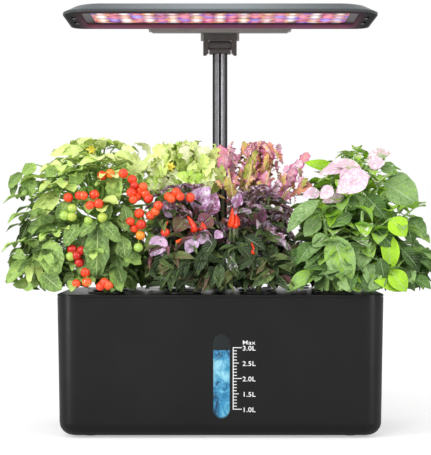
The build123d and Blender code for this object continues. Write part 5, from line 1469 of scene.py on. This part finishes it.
class GARDEN_OT_peppers(bpy.types.Operator):
    """Grows both ornamental pepper plants with their upright chillies"""
    bl_idname = "garden.peppers"
    bl_label = "Peppers"

    # base x and z, tip x and z, width, depth y, tint and, where a leaf is splashed, blush, in mm
    SHOWN_LEAVES = (
        (-26, 222, -10, 246, 22, -66, 0.95, 0.6), (-14, 218, -4, 240, 18, -68, 0.9, 0.5),
        (-46, 216, -58, 230, 15, -70, 0.95, 0.6), (14, 226, 20, 240, 12, -66, 0.95, 0.5),
        (36, 206, 46, 224, 16, -66, 0.85, 0.3), (30, 208, 34, 222, 12, -68, 0.8, 0.3),
        (-56, 196, -70, 176, 18, -80, 0.9, 0.75), (-60, 196, -58, 176, 14, -80, 0.9, 0.8),
        (-24, 196, -34, 178, 14, -80, 0.95, 0.75), (-12, 198, -22, 188, 11, -80, 0.9, 0.75),
        (2, 200, -6, 194, 10, -80, 0.9, 0.6), (-8, 216, -22, 204, 18, -74, 0.7, 0.1),
        (-34, 214, -46, 200, 17, -74, 0.6, 0.1), (-4, 166, -12, 142, 12, -84, 0.2, 0.1),
        (0, 170, -2, 144, 11, -86, 0.25, 0.3), (6, 178, 18, 154, 9, -86, 0.35, 0.45),
        (30, 164, 56, 136, 9, -86, 0.3, 0.35), (-44, 176, -60, 142, 10, -84, 0.35, 0.35),
        (-30, 178, -40, 148, 11, -86, 0.15), (16, 190, 34, 170, 12, -82, 0.15),
        (24, 196, 46, 182, 13, -80, 0.1), (-16, 184, -26, 156, 12, -84, 0.1),
        (10, 186, 4, 158, 12, -84, 0.12), (40, 184, 62, 166, 13, -78, 0.18),
        (-52, 184, -66, 158, 12, -80, 0.2), (-4, 194, -18, 172, 12, -82, 0.15),
        (34, 178, 40, 148, 11, -82, 0.25), (46, 200, 62, 190, 12, -74, 0.4),
    )
    # chillies: base x and z, tip x and z, width, depth y and ripeness, in mm
    CHILLIES = (
        (-25, 200, -33, 217, 8, -86, 0.7), (-21, 202, -18, 209, 6, -86, 0.65),
        (-16, 202, -19, 211, 6, -84, 0.75), (10, 205, 12, 225, 7, -86, 0.6),
        (14, 204, 16, 219, 7, -88, 0.7), (17, 206, 18, 216, 5, -84, 0.65),
        (33, 178, 31, 190, 6, -86, 0.7), (35, 180, 36, 188, 5, -84, 0.6),
        (-44, 190, -39, 194, 5, -86, 0.45), (-58, 206, -52, 212, 6, -80, 0.75),
    )

    def execute(self, context):
        settings = context.scene.garden_plants
        draws = random.Random(settings.seed + 2)
        low, high = room_of("pepper_left", "pepper_right")
        high.z += 8 * MM
        leaves, stems = Foliage(low, high), Stems()
        models = [leaf_model(4, 8, widest=0.42, sharpness=0.9, arch=arch, fold=0.35)
                  for arch in (0.6, 1.1, 1.7)]
        for node in ("pepper_left", "pepper_right"):
            root = root_of(node)
            fork = root + Vector((draws.uniform(-3, 3), 2, 26)) * MM
            stems.line([root, fork], 3.0 * MM, 2.2 * MM)
            box_low, box_high = room_of(node)
            for depth, count in ((0.85, 22), (0.5, 8)):
                for point in canopy(node, count, depth, draws):
                    point.z = max(point.z, fork.z + 4 * MM)
                    knee = (fork + point) / 2 + UP * 10 * MM
                    # bright is painted light: leaves high up and in front get paler tints
                    bright = painted_daylight(point, box_low, box_high, draws)
                    sprig(leaves, stems, models, (fork, knee, point), draws, size=26 * MM,
                          slim=0.4, tints=(0.05, 0.3 + 0.35 * (bright > 0.6)),
                          blush=0.4 * (bright > 0.62), droop=0.9)
            undergrowth(leaves, models, node, draws, count=76, lengths=(16 * MM, 36 * MM),
                        slim=0.32, tints=(0.05, 0.68))
        for x, z, y, base in show_leaves(leaves, models[:1], self.SHOWN_LEAVES, draws,
                                         forward=(0, 4), sway=0.3, tilt=(0.1, 0.7),
                                         blush_share=0.78):
            foot = PODS["pepper_left" if x < 0 else "pepper_right"]
            start = Vector((*foot, max(150, z - 24))) * MM
            stems.line([start, (start + base) / 2, base], 1.0 * MM, 0.6 * MM)
        chillies = Foliage(low, high)
        chilli = chilli_model()
        for x0, z0, x1, z1, width, y, ripe in self.CHILLIES:
            base, tip = in_sight(x0, z0, y), in_sight(x1, z1, y)
            chillies.leaf(chilli, base, tip, Vector((0.2, -1, 0.1)), width * MM, ripe)
            stems.line([base - UP * 14 * MM + Vector((0, 12 * MM, 0)), base - UP * 3 * MM, base],
                       1.0 * MM, 0.9 * MM)
        leaf = living_leaf(
            "pepper_leaf", settings.leaf_gloss, vein_count=8, vein="#ccd8b4",
            stops=((0.0, "#222e1c"), (0.25, "#3c5030"), (0.45, "#6c8448"), (0.7, "#744444"),
                   (1.0, "#a4649a")),
            blush_stops=((0.3, "#f6dcee"), (0.5, "#c49cc8"), (0.7, "#fcf0fa")))
        skin = ripe_skin("chilli_skin", ((0.3, "#e88a1e"), (0.55, "#fb5a22"), (0.8, "#ee3a12"),
                                         (1.0, "#c42408")))
        leaves.finish("pepper_leaves", leaf, "pepper_leaf", "pepper_left", "pepper_right")
        chillies.finish("chillies", skin, "pepper_leaf")
        stems.finish("pepper_stems", green_stem("pepper_stem", "#4b5d38", "#8a9a68"),
                     "pepper_leaf")
        return {"FINISHED"}


class GARDEN_OT_basils(bpy.types.Operator):
    """Grows both broad-leaved plants: plain green below, and splashed pink at their tops"""
    bl_idname = "garden.basils"
    bl_label = "Broad-leaved herbs"

    # base x and z, tip x and z, width, depth y, tint and, where a leaf is splashed, blush, in mm
    SHOWN_LEAVES = (
        (148, 258, 116, 240, 22, -84, 0.6, 0.95), (150, 256, 118, 250, 18, -78, 0.6, 0.95),
        (132, 262, 120, 250, 14, -84, 0.6, 0.9), (112, 246, 100, 234, 12, -84, 0.6, 0.95),
        (142, 262, 108, 268, 13, -60, 0.6, 0.85), (146, 272, 172, 280, 13, -44, 0.6, 0.75),
        (118, 260, 84, 270, 12, -50, 0.85), (126, 264, 98, 258, 11, -64, 0.6, 0.85),
        (148, 268, 165, 270, 13, -62, 0.6, 0.9), (160, 266, 176, 258, 14, -58, 0.4, 0.3),
        (124, 236, 102, 230, 12, -74, 0.6, 0.95), (100, 240, 82, 236, 12, -76, 0.5, 0.85),
        (98, 232, 66, 200, 16, -84, 0.45, 0.4), (163, 250, 198, 226, 32, -62, 0.5, 0.12),
        (166, 252, 194, 246, 20, -54, 0.48, 0.05), (154, 204, 172, 186, 24, -80, 0.2),
        (170, 214, 186, 196, 20, -90, 0.95), (166, 200, 170, 160, 18, -80, 0.92),
        (188, 214, 206, 196, 15, -60, 0.35), (186, 212, 192, 188, 15, -62, 0.38),
        (178, 190, 188, 164, 18, -70, 0.3), (174, 178, 178, 158, 12, -72, 0.05),
        (150, 162, 182, 134, 26, -88, 0.88), (170, 160, 186, 138, 18, -86, 0.85),
        (112, 198, 130, 148, 28, -88, 0.62), (108, 196, 92, 186, 15, -84, 0.5),
        (146, 170, 156, 142, 18, -86, 0.55), (96, 160, 66, 142, 15, -88, 0.66),
        (84, 156, 62, 138, 12, -84, 0.6), (132, 218, 104, 206, 20, -76, 0.4),
        (122, 226, 146, 232, 18, -72, 0.42), (100, 214, 84, 196, 16, -78, 0.5),
        (144, 238, 166, 214, 18, -72, 0.3), (92, 190, 78, 170, 16, -80, 0.35),
        (104, 176, 112, 152, 16, -84, 0.45), (138, 190, 124, 172, 14, -80, 0.5),
        (76, 184, 62, 164, 15, -78, 0.3), (128, 156, 140, 140, 14, -86, 0.75),
    )
    # stems that show, as x and z of their points, in mm
    SHOWN_STEMS = (((134, 142), (140, 170), (142, 222)), ((140, 160), (150, 190), (154, 204)),
                   ((106, 142), (108, 170), (104, 214)), ((120, 142), (128, 164), (134, 176)))

    def execute(self, context):
        settings = context.scene.garden_plants
        draws = random.Random(settings.seed + 3)
        low, high = room_of("basil_front", "basil_back")
        low.x -= 12 * MM
        high.z += 6 * MM
        leaves, stems = Foliage(low, high), Stems()
        models = [leaf_model(4, 8, widest=0.42, sharpness=0.75, arch=arch, fold=0.22,
                             ruffle=0.02, waves=2.0) for arch in (0.6, 1.0, 1.6)]
        for node, count in (("basil_front", 24), ("basil_back", 28)):
            root = root_of(node)
            box_low, box_high = room_of(node)
            for depth, share_of_count in ((0.82, 1.0), (0.5, 0.4)):
                for point in canopy(node, int(count * share_of_count), depth, draws):
                    point.z = max(point.z, root.z + 14 * MM)
                    # towards the middle of the deck the herbs stand lower
                    point.z = min(point.z, 236 * MM + max(0, point.x - 96 * MM))
                    knee = (root + point) / 2 + UP * 12 * MM
                    # bright is painted light: leaves high up and in front get paler tints
                    bright = painted_daylight(point, box_low, box_high, draws)
                    sprig(leaves, stems, models, (root, knee, point), draws, size=31 * MM,
                          slim=0.6, tints=(0.1 + 0.3 * bright, 0.35 + 0.4 * bright),
                          blush=0.35 * (bright > 0.8), droop=1.0)
            undergrowth(leaves, models, node, draws, count=56, lengths=(20 * MM, 34 * MM),
                        slim=0.55, tints=(0.0, 0.6))
        foot_x, foot_y = PODS["basil_front"]
        for x, z, y, base in show_leaves(leaves, models[:1], self.SHOWN_LEAVES, draws,
                                         forward=(0, 4), sway=0.25, tilt=(0.2, 0.7), swell=1.05,
                                         blush_share=0.62):
            start = Vector((foot_x + (x - foot_x) * 0.4, foot_y, max(142, z - 40))) * MM
            stems.line([start, (start + base) / 2 + UP * 6 * MM, base], 1.2 * MM, 0.7 * MM)
        for line in self.SHOWN_STEMS:
            stems.line([in_sight(x, z, -78) for x, z in line], 2.4 * MM, 1.6 * MM)
        leaf = living_leaf(
            "basil_leaf", settings.leaf_gloss, vein_count=9, vein="#c8daae",
            stops=((0.0, "#2c441e"), (0.3, "#567c38"), (0.55, "#90b070"), (0.78, "#98c82c"),
                   (1.0, "#aee02c")),
            blush_stops=((0.32, "#ffffff"), (0.5, "#e6b4cf"), (0.62, "#ffffff")))
        leaves.finish("basil_leaves", leaf, "basil_leaf", "basil_front", "basil_back")
        stems.finish("basil_stems", green_stem("basil_stem", "#86b054", "#b9d68c"), "basil_leaf")
        return {"FINISHED"}


PIECES = (GARDEN_OT_stage, GARDEN_OT_finish_rigid, GARDEN_OT_water, GARDEN_OT_level_scale,
          GARDEN_OT_tomatoes, GARDEN_OT_lettuces, GARDEN_OT_peppers, GARDEN_OT_basils)


class GARDEN_PT_panel(bpy.types.Panel):
    """Lists the garden's pieces and settings"""
    bl_idname = "GARDEN_PT_panel"
    bl_label = "Hydroponic garden"
    bl_space_type = "VIEW_3D"
    bl_region_type = "UI"
    bl_category = "Garden"

    def draw(self, context):
        for piece in PIECES:
            self.layout.operator(piece.bl_idname)
        for name in SETTINGS:
            box = self.layout.box()
            group = getattr(context.scene, name)
            for setting in group.__annotations__:
                box.prop(group, setting)


SETTINGS = {"garden_stage": GardenStage, "garden_water": GardenWater, "garden_scale": GardenScale,
            "garden_plants": GardenPlants}


def register():
    """Registers the settings, the operators and the panel."""
    for item in (*SETTINGS.values(), *PIECES, GARDEN_PT_panel):
        bpy.utils.register_class(item)
    for name, group in SETTINGS.items():
        setattr(bpy.types.Scene, name, bpy.props.PointerProperty(type=group))


def unregister():
    """Takes them out again."""
    for name in SETTINGS:
        delattr(bpy.types.Scene, name)
    for item in (GARDEN_PT_panel, *reversed(PIECES), *reversed(SETTINGS.values())):
        bpy.utils.unregister_class(item)


def main():
    """Registers the add-on and makes every piece in order."""
    register()
    for piece in PIECES:
        family, action = piece.bl_idname.split(".")
        getattr(getattr(bpy.ops, family), action)()


if __name__ == "__main__":
    main()
